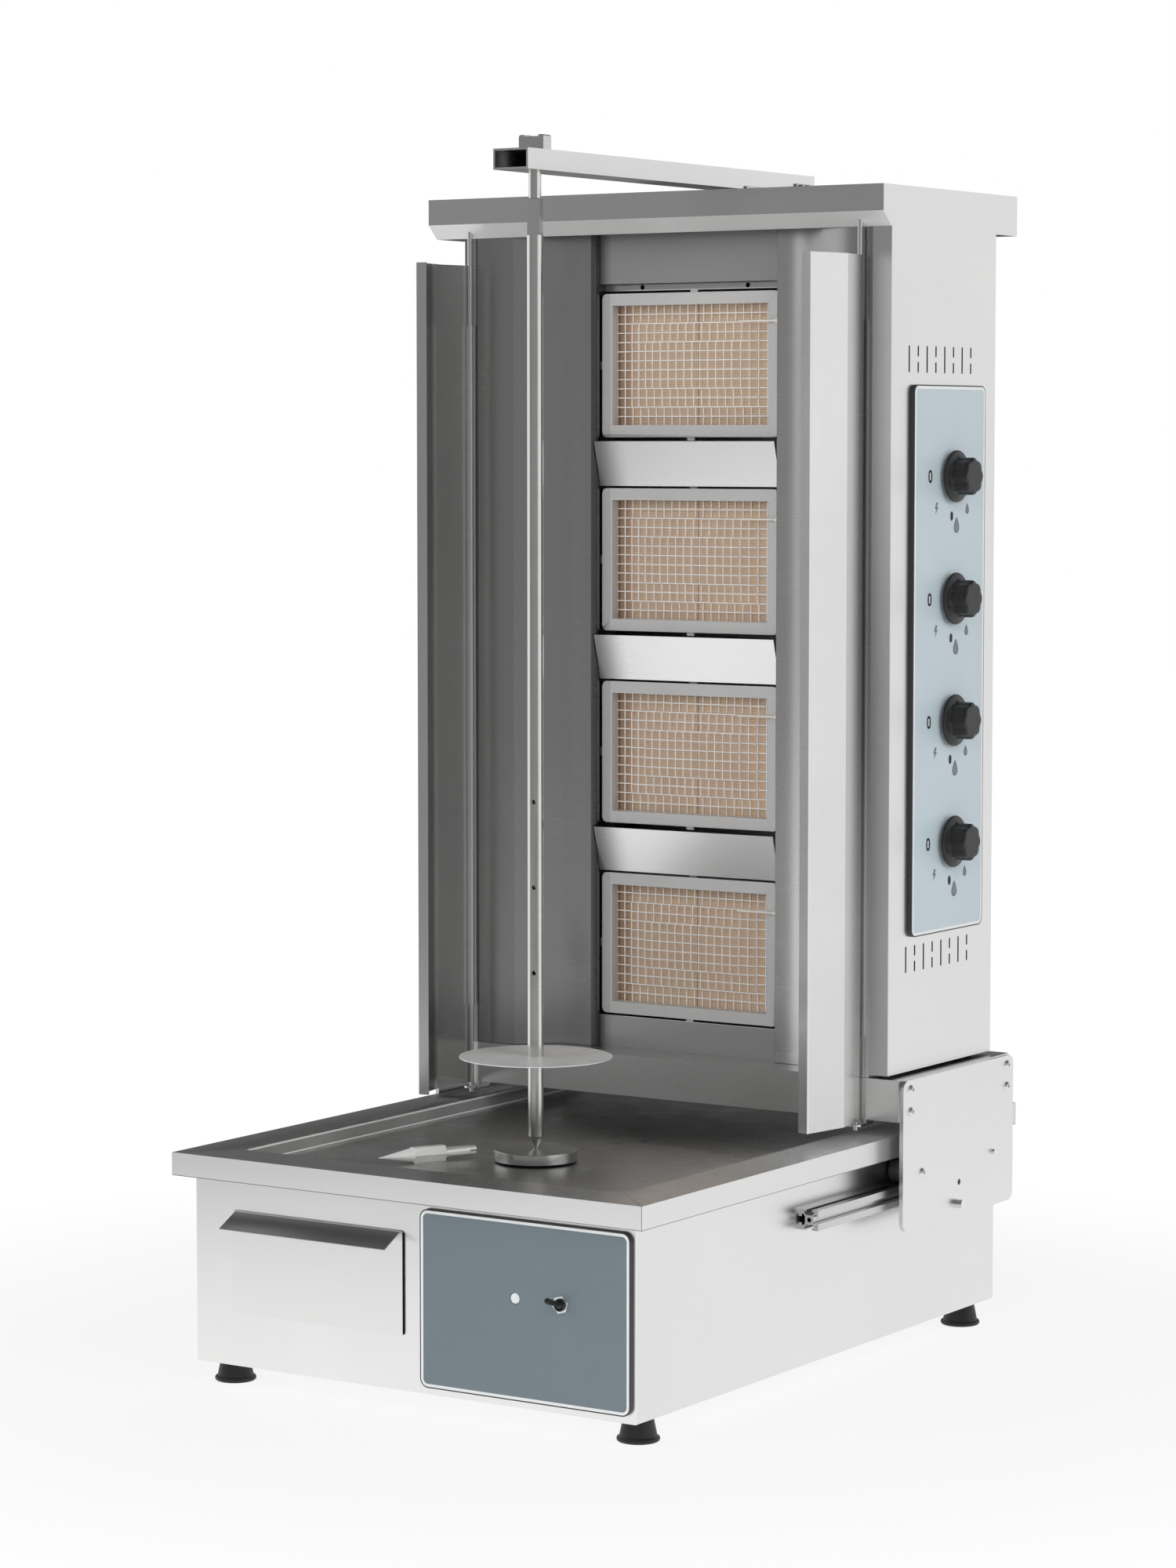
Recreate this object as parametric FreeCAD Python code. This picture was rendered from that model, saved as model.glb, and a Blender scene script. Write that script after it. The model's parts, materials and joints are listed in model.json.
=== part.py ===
"""Gas doner kebab grill: a floor-level cabinet with a drawer and a turning spit,
and a burner tower that slides along two rails beside the table.

Millimetres. X is to the right, Y goes away from the person who carves, Z is up.
The sizes are measured from the middle of the cabinet, on the floor. The finished
pieces are moved so that the origin is under the middle of the overall box.
"""
import FreeCAD, Part

import math
import os
from FreeCAD import Vector

# Sheet thicknesses and running clearances
CABINET_SHEET = 1.2
TABLE_SHEET = 1.5
TOWER_SHEET = 1.2
REFLECTOR_SHEET = 1.0
DRAWER_SHEET = 1.0
DOOR_SHEET = 1.2
SHAFT_FIT = 0.1
SLIDE_GAP = 0.3

# Cabinet and feet
CABINET_WIDTH = 506.5
CABINET_DEPTH = 692.5
FOOT_HEIGHT = 23.5
FOOT_RIM_RADIUS = 20.25
FOOT_NECK_RADIUS = 14.0
FOOT_SHOULDER_RADIUS = 17.0
FOOT_RIM_HEIGHT = 5.0
FOOT_SHOULDER_HEIGHT = 8.5
FOOT_SIDE_INSET = 19.4
FOOT_END_INSET = 35.0
FOOT_STUD_RADIUS = 4.0
FOOT_STUD_LENGTH = 24.0
FOOT_NUT = 6.4
FOOT_NUT_ACROSS_FLATS = 13.0

# Table top with its recessed pan
TABLE_WIDTH = 540.0
TABLE_DEPTH = 725.0
TABLE_TOP = 228.7
TABLE_SKIRT = 22.5
RIM_WIDTH = 50.0
PAN_DEPTH = 14.5
PAN_CORNER = 5.0
SHAFT_HOLE_GAP = 1.0

# Drawer and the bay that holds it
DRAWER_LEFT = -208.8
DRAWER_WIDTH = 203.8
DRAWER_BOTTOM = 75.5
DRAWER_HEIGHT = 100.5
DRAWER_FACE = 2.0
DRAWER_CORNER = 4.0
DRAWER_LAP = 4.3
DRAWER_TRAY_DEPTH = 300.0
DRAWER_TRAY_DROP = 8.0
LIP_REACH = 25.0
LIP_DROP = 14.0
LIP_SHEET = 1.2
RUNNER_LEG = 12.0
RUNNER_GAP = 0.5

# Front control panel, lamp and toggle switch
FRONT_PANEL_LEFT = 15.5
FRONT_PANEL_WIDTH = 234.5
FRONT_PANEL_BOTTOM = 30.5
FRONT_PANEL_HEIGHT = 169.8
FRONT_PANEL_PROUD = 4.0
FRONT_PANEL_CORNER = 9.0
PANEL_WINDOW_MARGIN = 27.0
LAMP_X = 123.0
LAMP_Z = 126.5
LAMP_RADIUS = 5.0
LAMP_HOLDER_RADIUS = 7.0
LAMP_HOLE_GAP = 0.4
LAMP_RECESS = 0.8
LAMP_LENGTH = 16.0
SWITCH_X = 174.6
SWITCH_Z = 126.5
SWITCH_BUSH_RADIUS = 6.0
SWITCH_BUSH_PROUD = 4.3
SWITCH_BUSH_EDGE = 0.8
SWITCH_NUT = 1.8
SWITCH_NUT_ACROSS_FLATS = 15.0
SWITCH_NUT_TURN = 15.8
SWITCH_BOX_WIDTH = 14.0
SWITCH_BOX_DEPTH = 22.0
SWITCH_BOX_HEIGHT = 29.0
LEVER_LENGTH = 24.8
LEVER_TIP_RADIUS = 2.9
LEVER_ROOT_RADIUS = 2.2
LEVER_TILT = 19.0
LEVER_BALL_RADIUS = 4.2
LEVER_PIVOT_DEPTH = 2.3
LEVER_PIN_RADIUS = 1.0
LEVER_PIN_INSET = 0.4

# Spit: everything on the vertical axis that turns
SPIT_X = 6.5
SPIT_Y = -141.5
PUCK_RADIUS = 41.0
PUCK_HEIGHT = 10.6
PUCK_LIFT = 1.8
PUCK_EDGE = 0.6
SHAFT_RADIUS = 6.0
SHAFT_DROP = 48.0
SHAFT_IN_PUCK = 5.0
TIP_HEIGHT = 13.2
TIP_SINK = 0.5
TIP_JOINT = 1.0
TIP_POINT_RADIUS = 2.0
TIP_SPIGOT = 4.0
TUBE_RADIUS = 8.0
TUBE_FOOT_RADIUS = 7.5
TUBE_BORE_RADIUS = 5.5
DISC_HEIGHT = 317.0
DISC_RADIUS = 75.0
DISC_SHEET = 1.0
CROSS_HOLE_RADIUS = 2.2
CROSS_HOLE_FIRST = 400.2
CROSS_HOLE_PITCH = 83.5
CROSS_HOLE_COUNT = 3
SOCKET_BOTTOM = 1113.1
SOCKET_HEIGHT = 34.8
SOCKET_SIDE = 12.5
SOCKET_TURN = 19.3
SOCKET_PLUG = 15.0
SPIGOT_RADIUS = 4.0
SPIGOT_LENGTH = 19.0
SPIGOT_END_GAP = 1.5

# Gear motor under the pan
GEARBOX_WIDTH = 82.0
GEARBOX_DEPTH = 70.0
GEARBOX_HEIGHT = 48.0
GEARBOX_SIDE_MARGIN = 10.0
BEARING_FLANGE_RADIUS = 26.0
BEARING_FLANGE = 6.0
BEARING_BOSS_RADIUS = 13.0
BEARING_HEIGHT = 14.0
MOTOR_RADIUS = 33.0
MOTOR_LENGTH = 88.0
STANDOFF_RADIUS = 3.0
STANDOFF_SIDE_INSET = 9.0

# Top arm and its lifting pin
ARM_WIDTH = 40.0
ARM_HEIGHT = 20.0
ARM_WALL = 2.0
ARM_BOTTOM = 1174.0
ARM_FRONT = -183.2
ARM_REAR = 356.7
PIN_RADIUS = 6.0
PIN_GAP_BELOW = 0.3
GRIP_WIDTH = 28.6
GRIP_DEPTH = 14.0
GRIP_HEIGHT = 14.7
GRIP_GROOVE_WIDTH = 16.5
GRIP_GROOVE_DEPTH = 1.6
GRIP_CORNER = 2.5
GUIDE_WALL = 2.0
GUIDE_LENGTH = 30.0
GUIDE_FRONT_Y = 215.0
GUIDE_REAR_Y = 316.0
GUIDE_CHEEK_FRONT = 3.5
GUIDE_CHEEK_REAR = 11.0
CLAMP_SCREW_RADIUS = 3.0
CLAMP_SCREW_SHARES = (0.3, 0.7)
CLAMP_SCREW_DROP = 4.0

# Spare tip that lies in the pan
SPARE_X = -107.0
SPARE_Y = -247.0
SPARE_TURN = 62.7
SPARE_POINT_RADIUS = 0.3
SPARE_CONE = 37.0
SPARE_BODY = 34.5
SPARE_SHANK = 34.0
SPARE_ACROSS_FLATS = 14.6
SPARE_SHANK_RADIUS = 5.0
SPARE_SLOT = 2.0
SPARE_SLOT_DEPTH = 7.0

# Rails along both cabinet sides
RAIL_SIZE = 20.0
RAIL_BOTTOM = 158.0
RAIL_FRONT = -51.8
RAIL_SLOT = 6.2
RAIL_LIP = 1.8
RAIL_CAVITY_WIDTH = 11.0
RAIL_CAVITY_DEPTH = 3.6
RAIL_BORE_RADIUS = 2.25
RAIL_BOLT_RADIUS = 2.5
RAIL_BOLT_HEAD_RADIUS = 4.5
RAIL_BOLT_HEAD = 3.0
RAIL_BOLT_COUNT = 4
RAIL_BOLT_INSET = 30.0
RAIL_NUT_SIDE = 9.0
RAIL_NUT_HEIGHT = 1.5

# Carriage under the tower
CARRIAGE_FRONT = 88.5
CARRIAGE_REAR = 321.5
CARRIAGE_TOP = 287.0
CARRIAGE_HEIGHT = 41.7
CARRIAGE_LIP = 15.0
CARRIAGE_LEFT_GAP = 0.5
CARRIAGE_RIGHT_GAP = 9.45
PLATE_THICKNESS = 4.3
PLATE_FRONT = 91.0
PLATE_REAR = 324.0
PLATE_TOP = 286.0
PLATE_BOTTOM = 135.0
PLATE_CORNER = 10.0
PLATE_HOLE_Y = 207.8
PLATE_HOLE_Z = 169.5
PLATE_HOLE_RADIUS = 3.0
PLATE_SCREW_Y = (106.2, 309.7)
PLATE_SCREW_Z = (254.3, 276.5)
PLATE_SCREW_RADIUS = 3.0
PLATE_SCREW_HEAD_RADIUS = 4.9
PLATE_SCREW_HEAD = 2.8
SCREW_HEAD_TOP_SHARE = 0.62
SCREW_SOCKET_DEPTH_SHARE = 0.55
SCREW_SOCKET_SHARE = 0.7
UPPER_ROLLER_RADIUS = 12.0
UPPER_ROLLER_Y = (130.0, 280.0)
LOWER_ROLLER_RADIUS = 9.7
LOWER_ROLLER_Y = 204.0
ROLLER_WIDTH = 18.0
ROLLER_EDGE = 1.0
AXLE_RADIUS = 4.0
AXLE_PIN_RADIUS = 2.6
AXLE_PIN = 3.0
AXLE_BOLT_ACROSS_FLATS = 8.2
AXLE_BOLT = 7.0

# Tower: the core box, symmetric about the spit plane, and the housing at its right
TOWER_FRONT = 88.5
TOWER_REAR = 304.6
CORE_HALF_WIDTH = 242.3
HOUSING_RIGHT = 270.0
HOUSING_BOTTOM_GAP = 3.3
HOUSING_FLANGE = 20.0
REFLECTOR_BEND = 226.0
REFLECTOR_WING = 184.5
REFLECTOR_WING_Y = 92.5
REFLECTOR_FLAT = 147.3
REFLECTOR_INNER = 111.2
REFLECTOR_FLAT_Y = 127.0
REFLECTOR_RETURN = 108.0
REFLECTOR_RETURN_Y = 138.0
REFLECTOR_BACK_Y = 168.0
REFLECTOR_LIFT = 0.3
TOWER_INTO_HOOD = 20.0

# Hood
HOOD_WIDTH = 540.0
HOOD_FRONT = 71.7
HOOD_REAR = 350.0
HOOD_TOP = 1165.0
HOOD_FACE = 26.0
HOOD_CHAMFER_RUN = 15.0
HOOD_BOTTOM = 1124.8

# Burners
BURNER_COUNT = 4
BURNER_TOP = 1067.0
BURNER_PITCH = 199.4
BURNER_WIDTH = 212.0
BURNER_HEIGHT = 147.0
BURNER_FRONT = 140.0
BURNER_CORNER = 6.0
BURNER_SHEET = 1.2
BURNER_WALL_INSET = 1.0
BURNER_WALL_DEPTH = 22.0
OPENING_WIDTH = 187.0
OPENING_HEIGHT = 122.5
TAB_WIDTH = 8.6
TAB_HEIGHT = 4.0
TAB_SHEET = 1.5
MESH_FACE = 152.0
MESH_PITCH = 9.5
MESH_WIRE = 1.5
MESH_SHEET = 1.0
MESH_STEP = 4.7
MESH_CELLS = ((20, 13), (16, 9), (12, 5))
TILE_FACE = 158.0
TILE_DEPTH = 13.0
TILE_GAP = 1.0
PLENUM_SHEET = 1.5
PLENUM_WIDTH = 194.0
PLENUM_HEIGHT = 132.0
PLENUM_BACK = 200.0
VENTURI_RADIUS = 14.0
VENTURI_LEFT = -55.0
VENTURI_RIGHT = 188.0
IGNITER_Y = 136.0
IGNITER_DROP = 30.3
IGNITER_RADIUS = 1.2
IGNITER_REACH = 61.2
INSULATOR_RADIUS = 3.0
INSULATOR_LENGTH = 28.0

# Sheets above, between and below the burners
BURNER_GAP = 2.3
DEFLECTOR_DROP = 4.3
DEFLECTOR_FRONT = 127.0
TOP_PANEL_BOTTOM = 1077.0
STRIP_SET_BACK = 10.0
STRIP_BOTTOM = 1069.8
STRIP_HOLE_RADIUS = 2.0
STRIP_HOLE_OFFSET = 63.2
STRIP_HOLE_Z = 1073.4

# Doors
HINGE_OFFSET = 231.5
HINGE_Y = 82.0
DOOR_BOTTOM = 244.0
DOOR_TOP = 1097.0
DOOR_FOLD = (241.5, 41.5)
DOOR_CORNER = (231.5, -13.5)
DOOR_FLANGE = 11.0
KNUCKLE_TOP_CUT = 62.0
KNUCKLE_BOTTOM_CUT = 83.0
DOOR_PIN_RADIUS = 2.5
DOOR_PIN_TOP = 1138.0
DOOR_PIN_BOTTOM = 235.0
DOOR_PIN_IN_KNUCKLE = 40.0
HINGE_TAB_SHEET = 2.0
HINGE_TAB_TOP = 241.3
HINGE_TAB_WIDTH = 16.0

# Side control panel, knobs and valves
KNOB_PANEL_FRONT = 128.0
KNOB_PANEL_REAR = 276.5
KNOB_PANEL_BOTTOM = 424.5
KNOB_PANEL_TOP = 971.5
KNOB_PANEL_PROUD = 4.4
KNOB_PANEL_CORNER = 8.0
KNOB_Y = 206.2
KNOB_TOP_Z = 881.0
KNOB_PITCH = 122.0
KNOB_SKIRT_RADIUS = 26.0
KNOB_SKIRT = 3.4
KNOB_GRIP_RADIUS = 18.75
KNOB_LENGTH = 22.0
KNOB_STAND_OFF = 4.0
KNOB_FLUTES = 8
KNOB_FLUTE_RADIUS = 5.0
KNOB_FLUTE_DEPTH = 2.2
KNOB_EDGE = 1.5
KNOB_PUSH = 3.0
SPINDLE_RADIUS = 4.0
SPINDLE_IN_VALVE = 14.0
SPINDLE_IN_KNOB = 16.6
SPINDLE_HOLE_GAP = 1.0
VALVE_LENGTH = 30.0
VALVE_SIDE = 24.0
VALVE_NECK = 5.8
VALVE_NECK_RADIUS = 8.0
MANIFOLD_RADIUS = 7.5
MANIFOLD_Y = 246.0
MANIFOLD_BOTTOM = 430.0
MANIFOLD_TOP = 930.0
INLET_RADIUS = 8.33
INLET_COLLAR = 4.0
INLET_COLLAR_ACROSS_FLATS = 22.0
INLET_RELIEF = 1.0
INLET_REAR = 332.0
BRANCH_RADIUS = 6.0
PIPE_RADIUS = 4.0
PIPE_BEND = 12.0
PIPE_COLUMN_X = 218.0

# Side vents
VENT_COUNT = 8
VENT_PITCH = 18.2
VENT_FIRST_Y = 124.6
VENT_WIDTH = 2.6
VENT_HEIGHT = 26.7
VENT_LOWER_Z = 389.3
VENT_UPPER_Z = 983.1
VENT_BRIDGE = 5.0
VENT_CORNER = 1.27

# Rear panels
BACK_SLOT_WIDTH = 60.0
BACK_SLOT_HEIGHT = 5.0
BACK_SLOT_PITCH = 14.0
BACK_SLOT_ROWS = 6
BACK_SLOT_X = 84.0
TOWER_SLOT_X = 70.7
GLAND_X = -190.0
GLAND_Z = 75.0
GLAND_RADIUS = 8.0
GLAND_CAP_RADIUS = 9.0
GLAND_NUT_ACROSS_FLATS = 24.0
GLAND_NUT = 9.0
GLAND_TUBE_RADIUS = 6.0
GLAND_TUBE = 14.0

# Derived places
CABINET_X = CABINET_WIDTH / 2
CABINET_Y = CABINET_DEPTH / 2
TABLE_X = TABLE_WIDTH / 2
TABLE_Y = TABLE_DEPTH / 2
TABLE_UNDER = TABLE_TOP - TABLE_SHEET
PAN_FLOOR = TABLE_TOP - PAN_DEPTH
PAN_UNDER = PAN_FLOOR - TABLE_SHEET
RAIL_TOP = RAIL_BOTTOM + RAIL_SIZE
RAIL_CENTRE_Z = RAIL_BOTTOM + RAIL_SIZE / 2
RAIL_OUTER_X = CABINET_X + RAIL_SIZE
CARRIAGE_LEFT = -RAIL_OUTER_X - CARRIAGE_LEFT_GAP
CARRIAGE_RIGHT = RAIL_OUTER_X + CARRIAGE_RIGHT_GAP
CARRIAGE_BOTTOM = CARRIAGE_TOP - CARRIAGE_HEIGHT
PUCK_TOP = PAN_FLOOR + PUCK_LIFT + PUCK_HEIGHT
TIP_TOP = PUCK_TOP - TIP_SINK + TIP_HEIGHT
SOCKET_TOP = SOCKET_BOTTOM + SOCKET_HEIGHT
ARM_TOP = ARM_BOTTOM + ARM_HEIGHT
HOUSING_LEFT = SPIT_X + CORE_HALF_WIDTH
TOWER_TOP = HOOD_BOTTOM + TOWER_INTO_HOOD
BURNER_TOPS = [BURNER_TOP - BURNER_PITCH * row for row in range(BURNER_COUNT)]
KNOB_HEIGHTS = [KNOB_TOP_Z - KNOB_PITCH * row for row in range(BURNER_COUNT)]
PANEL_FACE_X = HOUSING_RIGHT + KNOB_PANEL_PROUD
VALVE_RIGHT = HOUSING_RIGHT - TOWER_SHEET - VALVE_NECK
VALVE_LEFT = VALVE_RIGHT - VALVE_LENGTH
MANIFOLD_X = VALVE_LEFT + BRANCH_RADIUS
UPPER_ROLLER_Z = RAIL_TOP + SLIDE_GAP + UPPER_ROLLER_RADIUS
LOWER_ROLLER_Z = RAIL_BOTTOM - SLIDE_GAP - LOWER_ROLLER_RADIUS
UP = Vector(0, 0, 1)
RIGHTWARD = Vector(1, 0, 0)
BACKWARD = Vector(0, 1, 0)


def box(x0, x1, y0, y1, z0, z1):
    """A box between two corners."""
    return Part.makeBox(x1 - x0, y1 - y0, z1 - z0, Vector(x0, y0, z0))


def rod(start, end, radius):
    """A round bar between two points."""
    along = end.sub(start)
    return Part.makeCylinder(radius, along.Length, start, along)


def rod_x(x0, x1, y, z, radius):
    """A round bar along X."""
    return rod(Vector(x0, y, z), Vector(x1, y, z), radius)


def rod_z(x, y, z0, z1, radius):
    """A round bar along Z."""
    return rod(Vector(x, y, z0), Vector(x, y, z1), radius)


def centred_box(centre_x, half, y0, y1, z0, z1):
    """A box that is as wide to the left of a place along X as to the right."""
    return box(centre_x - half, centre_x + half, y0, y1, z0, z1)


def prism(corners, along):
    """A flat polygon pushed along a vector."""
    outline = Part.makePolygon(list(corners) + [corners[0]])
    return Part.Face(outline).extrude(along)


def rounded_box(x0, x1, y0, y1, z0, z1, radius, axis):
    """A box whose four edges along the axis are rounded."""
    block = box(x0, x1, y0, y1, z0, z1)
    edges = []
    for edge in block.Edges:
        run = edge.Vertexes[1].Point.sub(edge.Vertexes[0].Point)
        if abs(abs(run.dot(axis)) - run.Length) < 1e-6:
            edges.append(edge)
    return block.makeFillet(radius, edges)


def hexagon_bar(start, along, across_flats):
    """A hexagon bar from a point, along a vector that is square to Z or to X."""
    bar_side = Vector(0, 0, 1) if abs(along.z) < 1e-6 else Vector(1, 0, 0)
    other = along.cross(bar_side)
    other.normalize()
    reach = across_flats / math.sqrt(3)
    corners = []
    for step in range(6):
        angle = math.radians(60 * step)
        corners.append(start + bar_side * (reach * math.sin(angle)) + other * (reach * math.cos(angle)))
    return prism(corners, along)


def left_offset(path, distance):
    """The open path of (a, b) points moved to its left, with mitred corners."""
    headings = []
    for start, end in zip(path, path[1:]):
        length = math.dist(start, end)
        headings.append(((end[0] - start[0]) / length, (end[1] - start[1]) / length))
    headings = [headings[0]] + headings + [headings[-1]]
    moved = []
    for point, before, after in zip(path, headings, headings[1:]):
        share = distance / (1 + before[0] * after[0] + before[1] * after[1])
        a = point[0] - (before[1] + after[1]) * share
        b = point[1] + (before[0] + after[0]) * share
        moved.append((a, b))
    return moved


def folded_upright(path, thickness, bottom, top):
    """Sheet folded along an (x, y) path, standing from bottom to top, metal on the path's left."""
    outline = path + left_offset(path, thickness)[::-1]
    return prism([Vector(x, y, bottom) for x, y in outline], Vector(0, 0, top - bottom))


def folded_across(path, thickness, left, right):
    """Sheet folded along a (y, z) path, running from left to right, metal on the path's left."""
    outline = path + left_offset(path, thickness)[::-1]
    return prism([Vector(left, y, z) for y, z in outline], Vector(right - left, 0, 0))


def mirrored(shape, plane_x=0.0):
    """The shape mirrored across an upright plane that faces along X."""
    return shape.mirror(Vector(plane_x, 0, 0), RIGHTWARD)


def bent_tube(points, radius, bend):
    """A round tube along straight runs joined by tangent arcs."""
    edges = []
    start = points[0]
    for before, corner, after in zip(points, points[1:], points[2:]):
        inward = before.sub(corner).normalize()
        outward = after.sub(corner).normalize()
        half_angle = inward.getAngle(outward) / 2
        setback = bend / math.tan(half_angle)
        entry = corner + inward * setback
        leave = corner + outward * setback
        middle = (inward + outward).normalize()
        peak = corner + middle * (bend / math.sin(half_angle) - bend)
        edges.append(Part.LineSegment(start, entry).toShape())
        edges.append(Part.Arc(entry, peak, leave).toShape())
        start = leave
    edges.append(Part.LineSegment(start, points[-1]).toShape())
    circle = Part.makeCircle(radius, points[0], points[1].sub(points[0]))
    return Part.Wire(edges).makePipeShell([Part.Wire(circle)], True, True)


# Base of the machine

def cabinet_shell():
    """Folded cabinet, open at the top and rear, with the two walls of the drawer bay."""
    top = TABLE_UNDER
    shell = box(-CABINET_X, CABINET_X, -CABINET_Y, CABINET_Y, FOOT_HEIGHT, top)
    inner_x = CABINET_X - CABINET_SHEET
    floor = FOOT_HEIGHT + CABINET_SHEET
    front = -CABINET_Y + CABINET_SHEET
    shell = shell.cut(box(-inner_x, inner_x, front, CABINET_Y, floor, top))
    left, right, bottom, drawer_top = drawer_opening()
    shell = shell.cut(box(left, right, -CABINET_Y, front, bottom, drawer_top))
    margin = PANEL_WINDOW_MARGIN
    window = box(FRONT_PANEL_LEFT + margin, FRONT_PANEL_LEFT + FRONT_PANEL_WIDTH - margin,
                 -CABINET_Y, front,
                 FRONT_PANEL_BOTTOM + margin, FRONT_PANEL_BOTTOM + FRONT_PANEL_HEIGHT - margin)
    shell = shell.cut(window)
    for x, y in foot_places():
        shell = shell.cut(rod(Vector(x, y, FOOT_HEIGHT), Vector(x, y, floor), FOOT_STUD_RADIUS))
    for y in rail_bolt_places():
        reach = Vector(-CABINET_X, y, RAIL_CENTRE_Z)
        shell = shell.cut(rod(reach, reach + RIGHTWARD * CABINET_WIDTH, RAIL_BOLT_RADIUS))
    rear = front + DRAWER_TRAY_DEPTH + RUNNER_LEG
    wall_left = left - CABINET_SHEET
    walls = [box(wall_left, left, front, rear, floor, PAN_UNDER),
             box(right, right + CABINET_SHEET, front, rear, floor, PAN_UNDER)]
    return Part.makeCompound([shell] + walls)


def drawer_opening():
    """Left, right, bottom and top of the hole that the drawer slides through."""
    left = DRAWER_LEFT + DRAWER_LAP
    right = DRAWER_LEFT + DRAWER_WIDTH - DRAWER_LAP
    return left, right, DRAWER_BOTTOM + DRAWER_LAP, DRAWER_BOTTOM + DRAWER_HEIGHT - DRAWER_LAP


def foot_places():
    """Centres of the four feet."""
    x = CABINET_X - FOOT_SIDE_INSET
    y = CABINET_Y - FOOT_END_INSET
    return [(-x, -y), (x, -y), (-x, y), (x, y)]


def rail_bolt_places():
    """Places along Y of the bolts that hold each rail."""
    first = RAIL_FRONT + RAIL_BOLT_INSET
    last = CABINET_Y - RAIL_BOLT_INSET
    step = (last - first) / (RAIL_BOLT_COUNT - 1)
    return [first + step * index for index in range(RAIL_BOLT_COUNT)]


def cabinet_back():
    """Screwed-on rear sheet with air slots and the hole for the cable gland."""
    half = CABINET_X - CABINET_SHEET
    bottom = FOOT_HEIGHT + CABINET_SHEET
    sheet = box(-half, half, CABINET_Y - CABINET_SHEET, CABINET_Y, bottom, TABLE_UNDER)
    middle = (bottom + TABLE_UNDER) / 2
    for side in (-1, 1):
        for row in range(BACK_SLOT_ROWS):
            z = middle + (row - (BACK_SLOT_ROWS - 1) / 2) * BACK_SLOT_PITCH
            x = side * BACK_SLOT_X
            sheet = sheet.cut(box(x - BACK_SLOT_WIDTH / 2, x + BACK_SLOT_WIDTH / 2,
                                  CABINET_Y - CABINET_SHEET, CABINET_Y,
                                  z - BACK_SLOT_HEIGHT / 2, z + BACK_SLOT_HEIGHT / 2))
    gland = Vector(GLAND_X, CABINET_Y - CABINET_SHEET, GLAND_Z)
    return sheet.cut(rod(gland, gland + BACKWARD * CABINET_SHEET, GLAND_RADIUS))


def power_gland():
    """Cable gland for the motor supply, without a cable."""
    face = Vector(GLAND_X, CABINET_Y, GLAND_Z)
    inside = Vector(GLAND_X, CABINET_Y - CABINET_SHEET, GLAND_Z)
    outer = hexagon_bar(face, BACKWARD * GLAND_NUT, GLAND_NUT_ACROSS_FLATS)
    cap_end = face + BACKWARD * (GLAND_NUT + GLAND_TUBE)
    outer = outer.fuse(rod(face, cap_end, GLAND_CAP_RADIUS))
    outer = outer.fuse(rod(inside - BACKWARD * GLAND_NUT, face, GLAND_RADIUS))
    nut = hexagon_bar(inside, BACKWARD * -GLAND_NUT / 2, GLAND_NUT_ACROSS_FLATS)
    nut = nut.cut(rod(inside, inside - BACKWARD * GLAND_NUT, GLAND_RADIUS))
    bore = rod(inside - BACKWARD * GLAND_NUT, cap_end, GLAND_TUBE_RADIUS)
    return Part.makeCompound([outer.cut(bore), nut])


def table_top():
    """Folded table top with a rim, a skirt and a recessed pan."""
    bottom = TABLE_TOP - TABLE_SKIRT
    inner_x = TABLE_X - TABLE_SHEET
    inner_y = TABLE_Y - TABLE_SHEET
    cap = box(-TABLE_X, TABLE_X, -TABLE_Y, TABLE_Y, bottom, TABLE_TOP)
    cap = cap.cut(box(-inner_x, inner_x, -inner_y, inner_y, bottom, TABLE_UNDER))
    pan_x = TABLE_X - RIM_WIDTH
    pan_y = TABLE_Y - RIM_WIDTH
    tub_x = pan_x + TABLE_SHEET
    tub_y = pan_y + TABLE_SHEET
    tub = rounded_box(-tub_x, tub_x, -tub_y, tub_y, PAN_UNDER, TABLE_TOP, PAN_CORNER + TABLE_SHEET, UP)
    hollow = rounded_box(-pan_x, pan_x, -pan_y, pan_y, PAN_FLOOR, TABLE_TOP, PAN_CORNER, UP)
    top = cap.fuse(tub).cut(hollow)
    return top.cut(on_axis(PAN_UNDER, PAN_FLOOR, SHAFT_RADIUS + SHAFT_HOLE_GAP))


def foot(x, y):
    """One turned foot: a neck that widens to a rounded rim."""
    rim = FOOT_RIM_RADIUS
    edge = FOOT_RIM_HEIGHT / 2
    profile = [Vector(0, 0, 0), Vector(rim - edge, 0, 0)]
    arc = Part.Arc(profile[1], Vector(rim, 0, edge), Vector(rim - edge, 0, FOOT_RIM_HEIGHT)).toShape()
    shoulder = Vector(FOOT_SHOULDER_RADIUS, 0, FOOT_SHOULDER_HEIGHT)
    neck = Vector(FOOT_NECK_RADIUS, 0, FOOT_HEIGHT)
    centre_top = Vector(0, 0, FOOT_HEIGHT)
    wire = Part.Wire([Part.makeLine(profile[0], profile[1]), arc,
                      Part.makeLine(Vector(rim - edge, 0, FOOT_RIM_HEIGHT), shoulder),
                      Part.makeLine(shoulder, neck),
                      Part.makeLine(neck, centre_top),
                      Part.makeLine(centre_top, profile[0])])
    turned = Part.Face(wire).revolve(Vector(0, 0, 0), UP, 360)
    turned.translate(Vector(x, y, 0))
    return turned


def feet():
    """The four feet."""
    return Part.makeCompound([foot(x, y) for x, y in foot_places()])


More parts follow.
